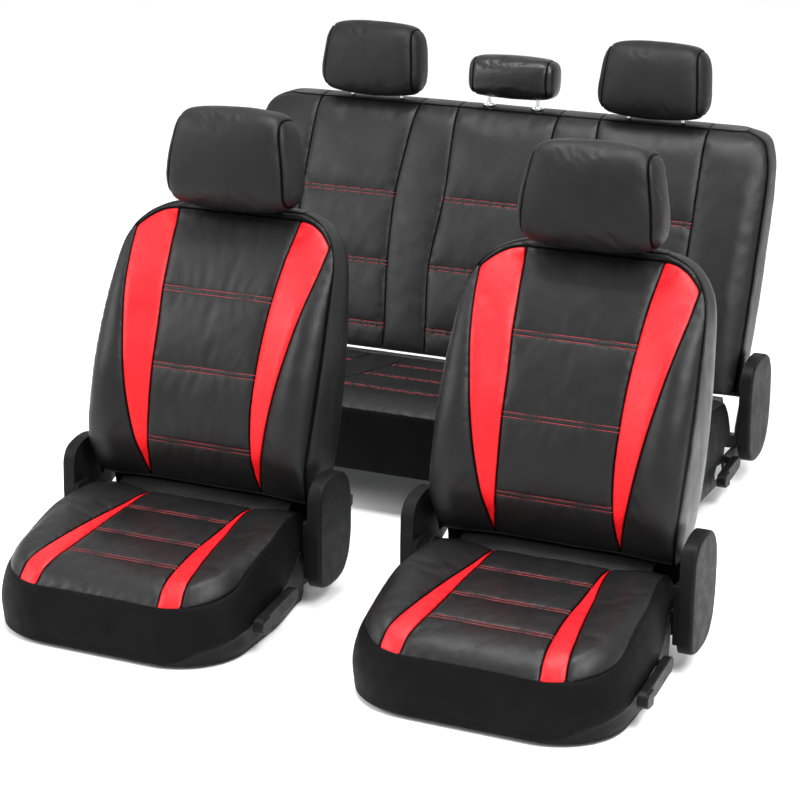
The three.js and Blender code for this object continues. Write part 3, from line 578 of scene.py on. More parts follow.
def plan_outline(c, steps=18):
    """Plan outline of a cushion's piped seam, counterclockwise from the front left."""
    points = []
    for side, end, start in ((-1, "front", 180), (1, "front", 270), (1, "rear", 0), (-1, "rear", 90)):
        r = c["corner_" + end]
        cx = side * (c["half"] - r)
        cy = c[end] + (r if end == "front" else -r)
        for a in np.radians(start + np.linspace(0, 90, steps)):
            points.append((cx + r * math.cos(a), cy + r * math.sin(a)))
    return np.array(points)


def tapered(c, points):
    """Narrows a cushion towards its rear."""
    start, end, narrow = c["taper"]
    out = points.copy()
    out[:, 0] *= 1 + (narrow - 1) * ramp(start, end, points[:, 1])
    return out


def cushion_height(c, flat, inset):
    lift = smooth(c["bolster"], flat[:, 1]) * ramp(c["bolster_from"], c["bolster_to"], abs(flat[:, 0]))
    full = smooth(c["crown"], flat[:, 1]) + lift
    seam = smooth(c["seam"], flat[:, 1])
    return seam + (full - seam) * np.sin(np.clip(inset / CROWN_ROLL, 0, 1) * np.pi / 2)


def groove(distance, depth, width):
    return depth * np.exp(-((distance / width) ** 2))


def seam_shade(distance):
    """How strong the painted shade along a seam is, from 1 on the seam to 0 beside it."""
    return np.exp(-((distance / 2.5) ** 2))


class Sewn:
    """A set of panels cut in one layout: where its seams and stitch lines are, and what they do."""

    def __init__(self, outline, seams, rows, spacing):
        self.rows = rows
        self.flat, self.faces = layout(outline, seams + rows, spacing)
        fine = [resample(outline, 0.8, closed=True)] + [resample(s, 0.8) for s in seams]
        self.seam_distance = distance_to(np.vstack(fine), self.flat)
        self.edge_distance = distance_to(fine[0], self.flat)
        if rows:
            self.row_distance = distance_to(np.vstack([resample(r, 0.8) for r in rows]), self.flat)
        else:
            self.row_distance = np.full(len(self.flat), FAR)

    def lift(self, place, outward, pressure, cap, wrinkle, seed):
        """Puts the layout on its surface, puffs it up, and presses the seams in."""
        points = place(self.flat, self.edge_distance)
        normal = vertex_normals(points, self.faces)
        if (normal @ np.array(outward, float)).mean() < 0:
            self.faces = self.faces[:, ::-1]
            normal = -normal
        pinned = (self.seam_distance < 1.2) | (self.row_distance < 0.8)
        points = puff(points, self.faces, pinned, pressure, cap)
        normal = vertex_normals(points, self.faces)
        near = np.exp(-((self.seam_distance / 16) ** 2)) * (1 - np.exp(-((self.seam_distance / 3) ** 2)))
        soft = waves(points, 42.0, seed) * wrinkle
        pucker = waves(points, 9.0, seed + 1) * near * wrinkle * 0.55
        shift = soft * (1 - np.exp(-((self.seam_distance / 14) ** 2))) + pucker
        shift -= groove(self.seam_distance, SEAM_DEPTH, SEAM_WIDTH)
        shift -= groove(self.row_distance, STITCH_DEPTH, STITCH_WIDTH)
        self.points = points + normal * shift[:, None]
        # Strength of the painted shade along the seams, passed on as the seam attribute.
        self.seam = seam_shade(self.seam_distance)
        return self

    def part(self, keep=slice(None)):
        """Points, faces and painted seam shade values of the faces for which keep is true, or of all."""
        faces = self.faces[keep]
        used, index = np.unique(faces, return_inverse=True)
        return self.points[used], index.reshape(faces.shape), self.seam[used]

    def masks(self, polygons):
        """Which faces lie in each polygon, and last, which lie in none."""
        masks = [inside(p, self.flat[self.faces].mean(1)) for p in polygons]
        return [*masks, ~np.any(masks, axis=0)]


def stitch_rows(left, right, positions):
    """Pairs of stitch lines between two seams, each given as its side and its table."""
    return [[(side * smooth(table, at + offset), at + offset) for side, table in (left, right)]
            for at in positions for offset in (-ROW_HALF, ROW_HALF)]


def bench_rows(tables, positions):
    """Stitch lines of the bench's middle place and then of its two outer places."""
    rows = stitch_rows((-1, tables["inner"]), (1, tables["inner"]), positions)
    for side in (-1, 1):
        rows += stitch_rows((side, tables["middle"]), (side, tables["outer"]), positions)
    return rows


# ---- threads


def stitch_ends(sewn, pitch):
    """Stitches on the finished surface: for each one its two ends and the surface normal."""
    tree = KDTree(len(sewn.flat))
    for i, p in enumerate(sewn.flat):
        tree.insert((p[0], p[1], 0), i)
    tree.balance()
    surface = BVHTree.FromPolygons([tuple(p) for p in sewn.points],
                                   [tuple(int(i) for i in f) for f in sewn.faces])
    ends = []
    for line in sewn.rows:
        samples = resample(line, pitch)
        for a, b in zip(samples[:-1], samples[1:]):
            hits = []
            for t in (0.10, 0.90):
                p = a + (b - a) * t
                near = tree.find_n((p[0], p[1], 0), 3)
                weight = np.array([1 / max(n[2], 0.05) for n in near])
                guess = (sewn.points[[n[1] for n in near]] * weight[:, None]).sum(0) / weight.sum()
                place, normal, _, _ = surface.find_nearest(Vector(guess))
                hits.append((np.array(place), np.array(normal)))
            ends.append((hits[0][0], hits[1][0], hits[0][1]))
    return ends


def stitching(sewn, pitch, radius):
    """All stitches of a piece as short rounded threads that dip into the cloth at both ends."""
    sides = 6
    profile = [(-0.02, 0.15, -0.9), (0.0, 0.75, -0.35), (0.22, 1.0, 0.45), (0.5, 1.0, 0.7),
               (0.78, 1.0, 0.45), (1.0, 0.75, -0.35), (1.02, 0.15, -0.9)]
    quads = grid_faces(len(profile), sides, wrap=True)[:, [0, 3, 2, 1]]
    last = (len(profile) - 1) * sides
    points, faces = [], []
    for a, b, normal in stitch_ends(sewn, pitch):
        along = b - a
        length = np.linalg.norm(along)
        if length < 0.5:
            continue
        t = along / length
        n = normal - t * (normal @ t)
        n /= max(np.linalg.norm(n), 1e-9)
        side = np.cross(t, n)
        base = len(points)
        for u, r, lift in profile:
            centre = a + along * u + n * lift * radius
            for k in range(sides):
                angle = 2 * math.pi * k / sides
                points.append(centre + (side * math.cos(angle) + n * math.sin(angle)) * radius * r)
        faces += [tuple(f) for f in quads + base]
        faces += [tuple(range(base, base + sides)), tuple(range(base + last, base + last + sides))[::-1]]
    return np.array(points), faces


# ---- cushion covers


def cushion_place(c):
    return lambda flat, inset: np.column_stack([tapered(c, flat), cushion_height(c, flat, inset)])


def outline_normals(loop):
    tangent = np.roll(loop, -1, axis=0) - np.roll(loop, 1, axis=0)
    normal = np.stack([tangent[:, 1], -tangent[:, 0]], 1)
    return normal / np.linalg.norm(normal, axis=1, keepdims=True)


def wall_ring(c, loop, normal, out, z):
    """One ring of a cushion's side, `out` mm outside the piped seam's plan; half as much at the front."""
    shift = np.column_stack([normal[:, 0] * out, normal[:, 1] * out * 0.4])
    return np.column_stack([tapered(c, loop + shift), z])


def skirt(c, hem_at, step, seed, rings=26):
    """Side wall of a cushion cover, from its piped seam down to the hem, with a turned-in edge."""
    loop = resample(plan_outline(c), step, closed=True)
    normal = outline_normals(loop)
    top = smooth(c["seam"], loop[:, 1])
    hem = hem_at(loop)
    rows = []
    for s in np.linspace(0, 1, rings) ** 1.15:
        z = top + (hem - top) * s
        full = np.clip((top - z) / np.maximum(top - c["hem"], 1), 0, 1)
        rows.append(wall_ring(c, loop, normal, smooth(c["bulge"], full), z))
    inward = np.column_stack([normal * np.array([1, 0.6]), np.zeros(len(loop))])
    last = rows[-1]
    rows.append(last - inward * 1.6 - [0, 0, 1.2])
    rows.append(last - inward * 4.2 - [0, 0, 1.0])
    rows.append(last - inward * 6.5 + [0, 0, 2.5])
    points = np.array(rows)
    flat = points.reshape(-1, 3)
    out = np.column_stack([normal, np.zeros(len(loop))])
    depth = (top - points[:, :, 2]) / np.maximum(top - hem, 1)
    soft = waves(flat * np.array([1, 1, 0.5]), 48.0, seed).reshape(depth.shape)
    tension = np.clip(depth, 0, 1) * (1 - np.clip(depth, 0, 1)) * 4
    hem_line = np.exp(-(((points[:, :, 2] - hem - 14) / 2.0) ** 2)) * 0.8
    seam_dip = np.exp(-(((top - points[:, :, 2]) / 2.6) ** 2)) * SEAM_DEPTH
    shift = soft * tension * 1.6 - hem_line - seam_dip
    points = points + out[None] * shift[:, :, None]
    # Painted shade below the piped seam; the skirt's woven material does not read it.
    seam = np.exp(-(((top - points[:, :, 2]) / 1.3) ** 2))
    return points.reshape(-1, 3), grid_faces(len(rows), len(loop), wrap=True)[:, ::-1], seam.ravel()


def run_on(table, side, at):
    """A seam line that runs straight on in front of its table's first row."""
    (y0, x0), (y1, x1) = table[:2]
    straight = np.column_stack([side * (x0 + (x1 - x0) / (y1 - y0) * (at - y0)), at])
    return np.where((at < y0)[:, None], straight, line_at(table, side, at))


def front_cushion():
    c = FRONT_CUSHION
    outline = plan_outline(c)
    seams = []
    for side in (-1, 1):
        for table in (CUSHION_INSERT_INNER, CUSHION_INSERT_OUTER):
            line = run_on(table, side, np.linspace(table[0][0] - 10, 3, 90))
            seams.append(line[inside(outline, line)])
    rows = stitch_rows((-1, CUSHION_INSERT_INNER), (1, CUSHION_INSERT_INNER), CUSHION_ROWS)
    sewn = Sewn(outline, seams, rows, FRONT_SPACING)
    sewn.lift(cushion_place(c), (0, 0, 1), PRESSURE, 5.0, 0.9, 10)
    hem_right = lambda p: smooth(HEM_RIGHT, p[:, 1]) * ramp(120, 185, p[:, 0])
    rear_hem = lambda p: 96 * ramp(14, 20, p[:, 1])
    return sewn, skirt(c, lambda p: np.maximum(hem_right(p), rear_hem(p)), 6.0, 12)


def bench_cushion():
    c = BENCH_CUSHION
    outline = plan_outline(c)
    at = np.linspace(c["front"] - 2, c["rear"] + 2, 120)
    seams = [line_at(table, side, at) for side in (-1, 1) for table in BENCH_CUSHION_SEAMS.values()]
    seams = [line[inside(outline, line)] for line in seams]
    sewn = Sewn(outline, seams, bench_rows(BENCH_CUSHION_SEAMS, BENCH_CUSHION_ROWS), BENCH_SPACING)
    sewn.lift(cushion_place(c), (0, 0, 1), PRESSURE, 6.0, 1.0, 20)
    side_hem = lambda p: c["hem"] + (smooth(BENCH_HEM, p[:, 1]) - c["hem"]) * ramp(470, 560, p[:, 0])
    rear_hem = lambda p: 146 * ramp(c["rear"] - 8, c["rear"] - 2, p[:, 1])
    return sewn, skirt(c, lambda p: np.maximum(side_hem(p), rear_hem(p)), 10.0, 22)


# ---- backrest covers


def back_outline(b):
    """Front outline of a backrest in x and z, counterclockwise from the bottom left."""
    z = np.linspace(b["bottom"], b["top"], 240)
    half = smooth(b["half"], z)
    right = np.column_stack([half, z])
    top = [(x, b["top"]) for x in np.linspace(half[-1], -half[-1], 12)[1:-1]]
    left = np.column_stack([-half, z])[::-1]
    return np.vstack([right, top, left])


def back_face(b, x, z):
    half = smooth(b["half"], z)
    seam = smooth(b["seam"], z)
    front = smooth(b["face"], z) - smooth(b["bolster"], z) * ramp(b["bolster_from"], b["bolster_to"], abs(x))
    edge = np.maximum(half - EDGE_ROLL, 0)
    t = np.clip((abs(x) - edge) / EDGE_ROLL, 0, 1)
    return front + (seam - front) * (1 - np.sqrt(1 - t * t * 0.999))


def back_place(b):
    return lambda flat, _: np.column_stack([flat[:, 0], back_face(b, *flat.T), flat[:, 1]])


def wrap_rows(b, step):
    """Heights of a gusset's rows, even along the outline, so that round shoulders stay smooth."""
    z = np.linspace(b["bottom"], b["top"], 400)
    half = smooth(b["half"], z)
    length = np.r_[0, np.cumsum(np.hypot(np.diff(z), np.diff(half)))]
    return np.interp(np.linspace(0, length[-1], int(length[-1] / step)), length, z)


def gusset(b, step, seed, cross_seam, sag_from, sag, rear_out):
    """Sides, rear, top and underside of a backrest cover, in one piece behind the front panel's seam."""
    rows = [gusset_section(b, z, step, rear_out) for z in wrap_rows(b, step)]
    low = rows[0]
    front = back_face(b, low[:, 0], low[:, 2])
    under = []
    for t in (1.0, 0.88, 0.75, 0.6, 0.45, 0.3, 0.18, 0.08):
        ring = low.copy()
        ring[:, 1] += (front - low[:, 1]) * t
        reach = np.clip((ring[:, 1] - sag_from) / (low[:, 1].max() - sag_from), 0, 1)
        ring[:, 2] -= sag * np.sin(np.pi * reach)
        under.append(ring)
    rows = under + rows
    points = np.array(rows)
    flat = points.reshape(-1, 3)
    faces = grid_faces(len(rows), points.shape[1])
    normal = vertex_normals(flat, faces)
    outward = np.column_stack([flat[:, 0], np.zeros(len(flat)), np.zeros(len(flat))])
    if (normal * outward).sum() < 0:
        faces, normal = faces[:, ::-1], -normal
    half = smooth(b["half"], flat[:, 2])
    start = smooth(b["seam"], flat[:, 2])
    depth = np.maximum(smooth(b["rear"], flat[:, 2]) - start, 6)
    beside = abs(flat[:, 0]) > half - 3
    along = (flat[:, 1] - start)
    front_dip = np.where(beside, np.exp(-((along / 2.4) ** 2)) * SEAM_DEPTH, 0)
    rear_line = np.where(flat[:, 1] > start + depth * 0.3,
                         np.exp(-(((abs(flat[:, 0]) - half + 22) / 2.2) ** 2)) * SEAM_DEPTH * 0.8, 0)
    cross = np.where(beside, np.exp(-(((flat[:, 2] - cross_seam) / 2.0) ** 2)) * 1.4, 0)
    soft = waves(flat * np.array([1, 1, 0.6]), 46.0, seed) * 1.5
    pucker = waves(flat * np.array([1, 0.5, 1.6]), 11.0, seed + 1)
    pucker *= np.exp(-((along / 20) ** 2)) * (1 - np.exp(-((along / 3) ** 2))) * beside * 0.7
    shift = soft * np.clip(abs(along) / 20, 0, 1) + pucker - front_dip - rear_line - cross
    points = flat + normal * shift[:, None]
    # Painted shade along the front seam and, weaker, along the cross seam.
    seam = np.where(beside, np.exp(-((along / 1.3) ** 2)), 0)
    seam = np.maximum(seam, np.where(cross > 1.0, 0.6, 0))
    return points, faces, seam


def lid(b, seams_at, rear_out, step, seed):
    """Top of a backrest cover, from the front panel over to the rear, with the panel seams crossing it."""
    section = gusset_section(b, b["top"], step, rear_out)
    right = section[: len(section) // 2 + 1]
    widest = int(right[:, 0].argmax())
    half = float(smooth(b["half"], b["top"]))
    xs = np.linspace(-half, half, int(2 * half / step))
    beside = [side * (x + o) for side in (-1, 1) for x in seams_at for o in (-5, -2.4, 0, 2.4, 5)]
    keep = [abs(x - np.array(beside)).min() > 2 if beside else True for x in xs]
    xs = np.sort(np.r_[xs[keep], beside])
    back = np.interp(abs(xs), right[widest:][::-1, 0], right[widest:][::-1, 1])
    front = back_face(b, xs, np.full(len(xs), b["top"]))
    fade = 1 - (abs(xs) / half) ** 6
    rows = []
    for t in np.linspace(0, 1, 15):
        z = b["top"] + LID_DOME * fade * math.sin(math.pi * t) ** 0.7
        rows.append(np.column_stack([xs, front + (back - front) * t, z]))
    points = np.array(rows).reshape(-1, 3)
    distance = np.full(len(points), FAR)
    for x in seams_at:
        distance = np.minimum(distance, abs(abs(points[:, 0]) - x))
    points[:, 2] -= groove(distance, SEAM_DEPTH, SEAM_WIDTH)
    points[:, 2] += waves(points, 50.0, seed) * 0.6 * np.tile(fade, 15)
    # The last value is the painted shade along the crossing seams.
    return points, grid_faces(15, len(xs)), seam_shade(distance)


def gusset_section(b, level, step, rear_out):
    """One horizontal section of a backrest's sides and rear, from the right front seam to the left."""
    half = float(smooth(b["half"], level))
    rear = float(smooth(b["rear"], level)) + rear_out
    seam = float(smooth(b["seam"], level))
    depth = max(rear - seam, 6)
    wide = min(34, half * 0.25)
    control = [(half, seam), (half + 1.6, seam + depth * 0.3), (half + 1, seam + depth * 0.62),
               (half - 0.25 * wide, seam + depth * 0.88), (half - wide, rear),
               (half * 0.62, rear + 2), (half * 0.3, rear + 3), (0, rear + 3)]
    right = spline(control, max(int(700 / step), 60) if b is BENCH_BACK else int(420 / step))
    left = right[::-1][1:] * np.array([-1, 1])
    both = np.vstack([right, left])
    return np.column_stack([both, np.full(len(both), level)])


def front_back():
    b = FRONT_BACK
    seams = []
    for side in (-1, 1):
        for table in (BACK_INSERT_INNER, BACK_INSERT_OUTER):
            seams.append(line_at(table, side, np.linspace(table[0][0], table[-1][0], 120)))
    shoulder = spline(SHOULDER, 40)
    seams.append(np.vstack([shoulder[::-1] * [-1, 1], shoulder])[::-1])
    rows = stitch_rows((-1, BACK_INSERT_INNER), (1, BACK_INSERT_INNER), BACK_ROWS)
    sewn = Sewn(back_outline(b), seams, rows, FRONT_SPACING)
    sewn.lift(back_place(b), (0, -1, 0), PRESSURE, 5.0, 1.0, 30)
    return sewn, gusset(b, 7.0, 32, 530, 45, 14, 1.0), lid(b, (), 1.0, 6.0, 34)


def bench_back():
    b = BENCH_BACK
    z = np.linspace(b["bottom"], b["top"], 140)
    seams = [line_at(table, side, z) for side in (-1, 1) for table in BENCH_SEAMS.values()]
    sewn = Sewn(back_outline(b), seams, bench_rows(BENCH_SEAMS, BENCH_ROWS), BENCH_SPACING)
    sewn.lift(back_place(b), (0, -1, 0), PRESSURE, 6.0, 1.1, 40)
    crossing = [table[-1][1] for table in BENCH_SEAMS.values()]
    return sewn, gusset(b, 9.0, 42, 470, 890, 4, 2.5), lid(b, crossing, 2.5, 9.0, 44)


# ---- headrests

FRONT_HEADREST = {
    "half": (140, 54, 96), "round": 40, "post_x": 70, "post_low": -215, "radius": 5.5,
    "centre": (0, 180, 786), "pad_y": -30, "pad_tilt": 0.06, "tilt": 0.06, "seat": -98,
    "collar": 12, "collar_height": 3, "seam": 124, "fullness": 9, "taper": 0.13, "pad_z": -2,
}
OUTER_HEADREST = {
    "half": (127, 50, 82), "round": 38, "post_x": 62, "post_low": -205, "radius": 5.5,
    "centre": (335, 1140, 812), "pad_y": -20, "pad_tilt": 0.05, "tilt": 0.12, "seat": -92,
    "collar": 13, "collar_height": 3, "seam": 110, "fullness": 8, "taper": 0.08, "pad_z": -3,
}
CENTRE_HEADREST = {
    "half": (106, 42, 47), "round": 39, "post_x": 58, "post_low": -175, "radius": 5,
    "centre": (0, 1138, 790), "pad_y": -2, "pad_tilt": 0, "tilt": 0.12, "seat": -67,
    "collar": 15, "collar_height": 5, "seam": 89, "fullness": 10, "taper": 0.0, "pad_z": 0,
}


def turned(points, angle):
    """Points turned about the x axis."""
    c, s = math.cos(angle), math.sin(angle)
    x, y, z = points.T
    return np.column_stack([x, y * c - z * s, y * s + z * c])


def to_headrest(spec, points, pad=True):
    if pad:
        points = turned(points, -spec["pad_tilt"]) + [0, spec["pad_y"], spec["pad_z"]]
    return turned(points, -spec["tilt"]) + np.array(spec["centre"], float)


def pad_section(half_y, half_z, radius, count):
    """Rounded section of a headrest in y and z, slightly crowned."""
    angle = np.linspace(0, 2 * np.pi, count, endpoint=False)
    power = max(2 + 5.0 * (1 - radius / half_y), 2.7)
    c, s = np.cos(angle), np.sin(angle)
    y = np.sign(c) * abs(c) ** (2 / power) * half_y
    z = np.sign(s) * abs(s) ** (2 / (power + 0.4)) * half_z
    return np.column_stack([y, z])


def headrest_pad(spec, seed, step=5.5, wrinkle=1.0):
    """Closed pad whose cover has a front band and two side panels, joined by seams round the sides."""
    half_x, half_y, half_z = spec["half"]
    seam = spec["seam"]
    inner = np.arange(-half_x, half_x + 0.1, step)
    extra = [s * (seam + o) for s in (-1, 1) for o in (-4.5, -2, 0, 2, 4.5)]
    near = np.array([min(abs(x - s * seam) for s in (-1, 1)) for x in inner])
    xs = np.sort(np.r_[inner[near > 6], extra])
    xs = xs[(xs > -half_x) & (xs < half_x)]
    ends = half_x * np.array([0.955, 0.98, 0.994])
    xs = np.sort(np.r_[xs[abs(xs) < half_x * 0.945], ends, -ends])
    count = 96
    base = pad_section(half_y, half_z, spec["round"], count)
    rings = []
    for x in xs:
        t = abs(x) / half_x
        shrink = (1 - t ** spec["fullness"]) ** 0.46
        crown = 1 - 0.05 * t * t
        y = base[:, 0] * (1 - (1 - shrink) * 0.82) * (1 - 0.08 * t * t)
        z = base[:, 1] * crown * (1 - (1 - shrink) * 0.62)
        lean = 1 - spec["taper"] * ramp(-0.5, 1.0, z / half_z)
        rings.append(np.column_stack([x * lean, y, z]))
    tips = [rings[i].mean(0) * [1.012, 1, 1] for i in (0, -1)]
    points = np.vstack([*rings, *tips])
    quads = grid_faces(len(xs), count, wrap=True)
    k = np.arange(count)
    last, tip = (len(xs) - 1) * count, len(xs) * count
    ends = np.column_stack([(k + 1) % count, k, np.full(count, tip),
                            last + k, last + (k + 1) % count, np.full(count, tip + 1)])
    faces = np.vstack([quads[:, [0, 1, 2, 0, 2, 3]].reshape(-1, 3), ends.reshape(-1, 3)])
    normal = vertex_normals(points, faces)
    if (normal * points).sum() < 0:
        faces, normal = faces[:, ::-1], -normal
    lean = 1 - spec["taper"] * ramp(-0.5, 1.0, points[:, 2] / half_z)
    distance = abs(abs(points[:, 0] / lean) - seam)
    points = puff(points * DEFLATED, faces, distance < 1.0, 5.0, 5.0)
    normal = vertex_normals(points, faces)
    near = np.exp(-((distance / 15) ** 2)) * (1 - np.exp(-((distance / 3) ** 2)))
    soft = waves(points, 40.0, seed) * wrinkle
    pucker = waves(points * np.array([0.35, 1, 1]), 8.0, seed + 1) * near * wrinkle * 0.8
    shift = soft + pucker - groove(distance, SEAM_DEPTH, SEAM_WIDTH)
    # The last value is the painted shade along the side seams.
    return to_headrest(spec, points + normal * shift[:, None]), faces, seam_shade(distance)


def lathe(profile, segments=40):
    """Turned solid about the z axis; the profile closes on itself."""
    ring = np.array(profile, float)
    turns = [np.column_stack([ring[:, 0] * math.cos(a), ring[:, 0] * math.sin(a), ring[:, 1]])
             for a in np.linspace(0, 2 * np.pi, segments, endpoint=False)]
    index = np.arange(segments * len(ring)).reshape(segments, -1)
    beside, after = np.roll(index, -1, axis=1), np.roll(index, -1, axis=0)
    return np.vstack(turns), np.stack([index, after, np.roll(beside, -1, axis=0), beside], -1).reshape(-1, 4)


def capped(rings):
    """A row of closed rings with a face at each end."""
    sides = len(rings[0])
    last = (len(rings) - 1) * sides
    faces = [tuple(f) for f in grid_faces(len(rings), sides, wrap=True)]
    faces += [tuple(range(sides))[::-1], tuple(range(last, last + sides))]
    return np.vstack(rings), faces


def tube(path, radius, sides=20):
    """Round rod along a path in a plane of constant y, with domed ends."""
    p = np.array(path, float)
    tangent = np.gradient(p, axis=0)
    tangent /= np.linalg.norm(tangent, axis=1, keepdims=True)
    up = np.array([0.0, 1.0, 0.0])
    side = np.cross(tangent, up)
    side /= np.linalg.norm(side, axis=1, keepdims=True)
    angle = np.linspace(0, 2 * np.pi, sides, endpoint=False)
    rings = [c + radius * (np.outer(np.cos(angle), s) + np.outer(np.sin(angle), up))
             for c, s in zip(p, side)]
    first = p[0] + (rings[0] - p[0]) * 0.7 - tangent[0] * radius * 0.35
    final = p[-1] + (rings[-1] - p[-1]) * 0.7 + tangent[-1] * radius * 0.35
    return capped([first, *rings, final])


def post_path(spec):
    """A pair of posts joined by a bend inside the pad, whose top is at z = 0."""
    x, bend = spec["post_x"], 14
    half = [(-x, 0, z) for z in np.linspace(spec["post_low"], -bend, 14)]
    for a in np.radians(np.linspace(170, 100, 6)):
        half.append((-x + bend + bend * math.cos(a), 0, -bend + bend * math.sin(a)))
    across = [(u, 0, 0) for u in np.linspace(-x + bend, x - bend, 6)]
    return half + across + [(-u, 0, z) for u, _, z in reversed(half)]


def guide_profile(spec):
    bore, collar, height = spec["radius"] + 0.5, spec["collar"], spec["collar_height"]
    sleeve = spec["collar"] * 0.55
    profile = [(bore, -26), (sleeve, -26), (sleeve, 0.2), (collar * 0.96, 0.2), (collar, 0.8)]
    for a in np.radians(np.linspace(0, 80, 6)):
        profile.append((collar - 2.2 + 2.2 * math.cos(a), height - 1.6 + 1.6 * math.sin(a)))
    profile += [(bore + 2.0, height), (bore + 0.4, height - 0.6), (bore, height - 1.6)]
    return profile


# ---- moulded plastic


def moulding(outline, x_in, x_out, edge, corner=8, crown=0.0):
    """Moulded cap over an outline in y and z: flat inner face, rounded outer edge, crowned face."""
    loop = resample(round_corners(outline, corner, 7), 4.0, closed=True)
    area = 0.5 * np.sum(loop[:, 0] * np.roll(loop[:, 1], -1) - np.roll(loop[:, 0], -1) * loop[:, 1])
    if area < 0:
        loop = loop[::-1]
    normal = outline_normals(loop)
    centre = loop.mean(0)
    sign = 1 if x_out > x_in else -1
    rings = [np.column_stack([np.full(len(loop), x_in), loop])]
    for a in np.radians(np.linspace(0, 90, 8)):
        inset = edge * (1 - math.cos(a))
        x = x_out - sign * edge * (1 - math.sin(a))
        rings.append(np.column_stack([np.full(len(loop), x), loop - normal * inset]))
    flat_edge = loop - normal * edge
    for t in (0.92, 0.75, 0.5, 0.25, 0.08):
        ring = centre + (flat_edge - centre) * t
        rings.append(np.column_stack([np.full(len(loop), x_out + sign * crown * (1 - t * t)), ring]))
    points, faces = capped(rings)
    if sign < 0:
        faces = [tuple(reversed(f)) for f in faces]
    return points, faces


RECLINER_OUTLINE = [(-70, 52), (-69, 150), (-66, 212), (-52, 234), (-20, 244), (14, 245), (44, 234),
                    (62, 208), (68, 170), (66, 110), (56, 66), (34, 38), (4, 28), (-36, 28), (-60, 36)]
LEVER_BLADE = [(-146, 60), (-150, 72), (-166, 76), (-196, 72), (-262, 64), (-290, 62), (-296, 50),
               (-286, 38), (-240, 36), (-206, 40), (-176, 44), (-156, 46)]
LEVER_GRIP = [(-294, 60), (-300, 44), (-288, 32), (-262, 30), (-262, 62)]
VALENCE_TOP = [[-420, 62], [-380, 62], [-300, 78], [-230, 88], [-160, 98], [-100, 104], [-76, 106]]
BENCH_RECLINER = [(872, 92), (868, 190), (874, 250), (892, 268), (930, 276), (972, 276), (1004, 262),
                  (1022, 230), (1026, 170), (1020, 110), (1004, 74), (976, 52), (930, 46), (892, 58)]
BENCH_BLADE = [(866, 58), (866, 74), (852, 80), (826, 78), (776, 74), (752, 70), (746, 58), (756, 46),
               (806, 44), (836, 48), (860, 52)]
BENCH_GRIP = [(748, 70), (742, 54), (752, 42), (780, 40), (780, 72)]


def joined(parts):
    """Several bodies as one list of points and faces."""
    points, faces = [], []
    for p, f in parts:
        base = sum(len(q) for q in points)
        points.append(np.asarray(p))
        faces += [tuple(int(i) + base for i in face) for face in f]
    return np.vstack(points), faces


def rod_x(x0, x1, y, z, radius, sides=24):
    """Straight rod along x."""
    angle = np.linspace(0, 2 * np.pi, sides, endpoint=False)
    rings = [np.column_stack([np.full(sides, x), y + radius * np.cos(angle), z + radius * np.sin(angle)])
             for x in (x0, x1)]
    return capped(rings)


def shield(c, top_table, hem_table, y_end, inset):
    """Side shield: a moulded strip under the skirt, with a rolled rim just below the hem."""
    loop = resample(plan_outline(c), 6.0, closed=True)
    normal = outline_normals(loop)
    keep = (loop[:, 0] > c["half"] - c["corner_front"] + 6) & (loop[:, 1] < y_end)
    loop, normal = loop[keep], normal[keep]
    top = smooth(c["seam"], loop[:, 1])
    high = smooth(top_table, loop[:, 1])
    hem = smooth(hem_table, loop[:, 1])
    rows = []
    for t in np.linspace(0, 1, 26):
        z = c["hem"] - 3 + (high - c["hem"] + 3) * t
        full = np.clip((top - z) / (top - c["hem"]), 0, 1)
        out = smooth(c["bulge"], full) - inset
        out = out + 2.6 * np.exp(-(((z - hem + 7) / 3.5) ** 2)) - 3.0 * ramp(14, 0, z - c["hem"])
        rows.append(wall_ring(c, loop, normal, out, np.full(len(loop), z)))
    return np.vstack(rows), grid_faces(len(rows), len(loop))


def tuck(section, half, step, seed):
    """Tuck-in flap of a cover: a rolled strip across the seat, with a soft uneven edge."""
    curve = spline(section, 26)
    xs = np.linspace(-half, half, int(2 * half / step))
    points = np.vstack([np.column_stack([xs, np.full(len(xs), y), np.full(len(xs), z)]) for y, z in curve])
    points[:, 2] += waves(points, 60.0, seed) * 0.8 - 0.8
    return points, grid_faces(len(curve), len(xs))


# ---- putting the pieces in place


def put(tag, name, geometry, material, body, nodes="", thickness=0.0):
    """Puts one piece at its seat's place, with its body and the CAD nodes that it replaces."""
    # seam, when given, is the strength of the painted seam shade.
    points, faces, *seam = geometry
    obj = mesh_object(f"{tag}_{name}", (points + ORIGIN[tag]) * MM, faces, MATERIAL[material], *seam)
    if thickness:
        thicken(obj, thickness)
    obj.data.polygons.foreach_set("use_smooth", np.ones(len(obj.data.polygons), bool))
    obj.data.set_sharp_from_angle(angle=SHARP_ANGLE)
    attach(obj, body)
    if nodes:
        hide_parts(*[f"{tag}_{node}" for node in nodes.split()])


def mirrored(geometry):
    points, faces = geometry
    return points * np.array([-1, 1, 1]), [tuple(reversed(f)) for f in faces]


def put_headrest(tag, spec, pad, material, nodes, label="", shift=0):
    """A headrest's pad and posts, moved sideways by shift mm."""
    body = f"{tag}_headrest{label}"
    move = np.array([shift, 0, 0])
    put(tag, f"headrest_pad{label}", (pad[0] + move, *pad[1:]), material, body, nodes, 0)
    rods, faces = tube(post_path(spec), spec["radius"])
    put(tag, f"headrest_rods{label}", (to_headrest(spec, rods, False) + move, faces), "chrome", body,
        f"headrest{label}_posts")


def put_collars(tag, spec, material):
    """The two collars in which a headrest's posts slide."""
    for side, label in ((-1, "left"), (1, "right")):
        points, faces = lathe(guide_profile(spec))
        points = to_headrest(spec, points + [side * spec["post_x"], 0, spec["seat"]], False)
        put(tag, f"guide_collar_{label}", (points, faces), material, f"{tag}_backrest", f"guide_{label}")


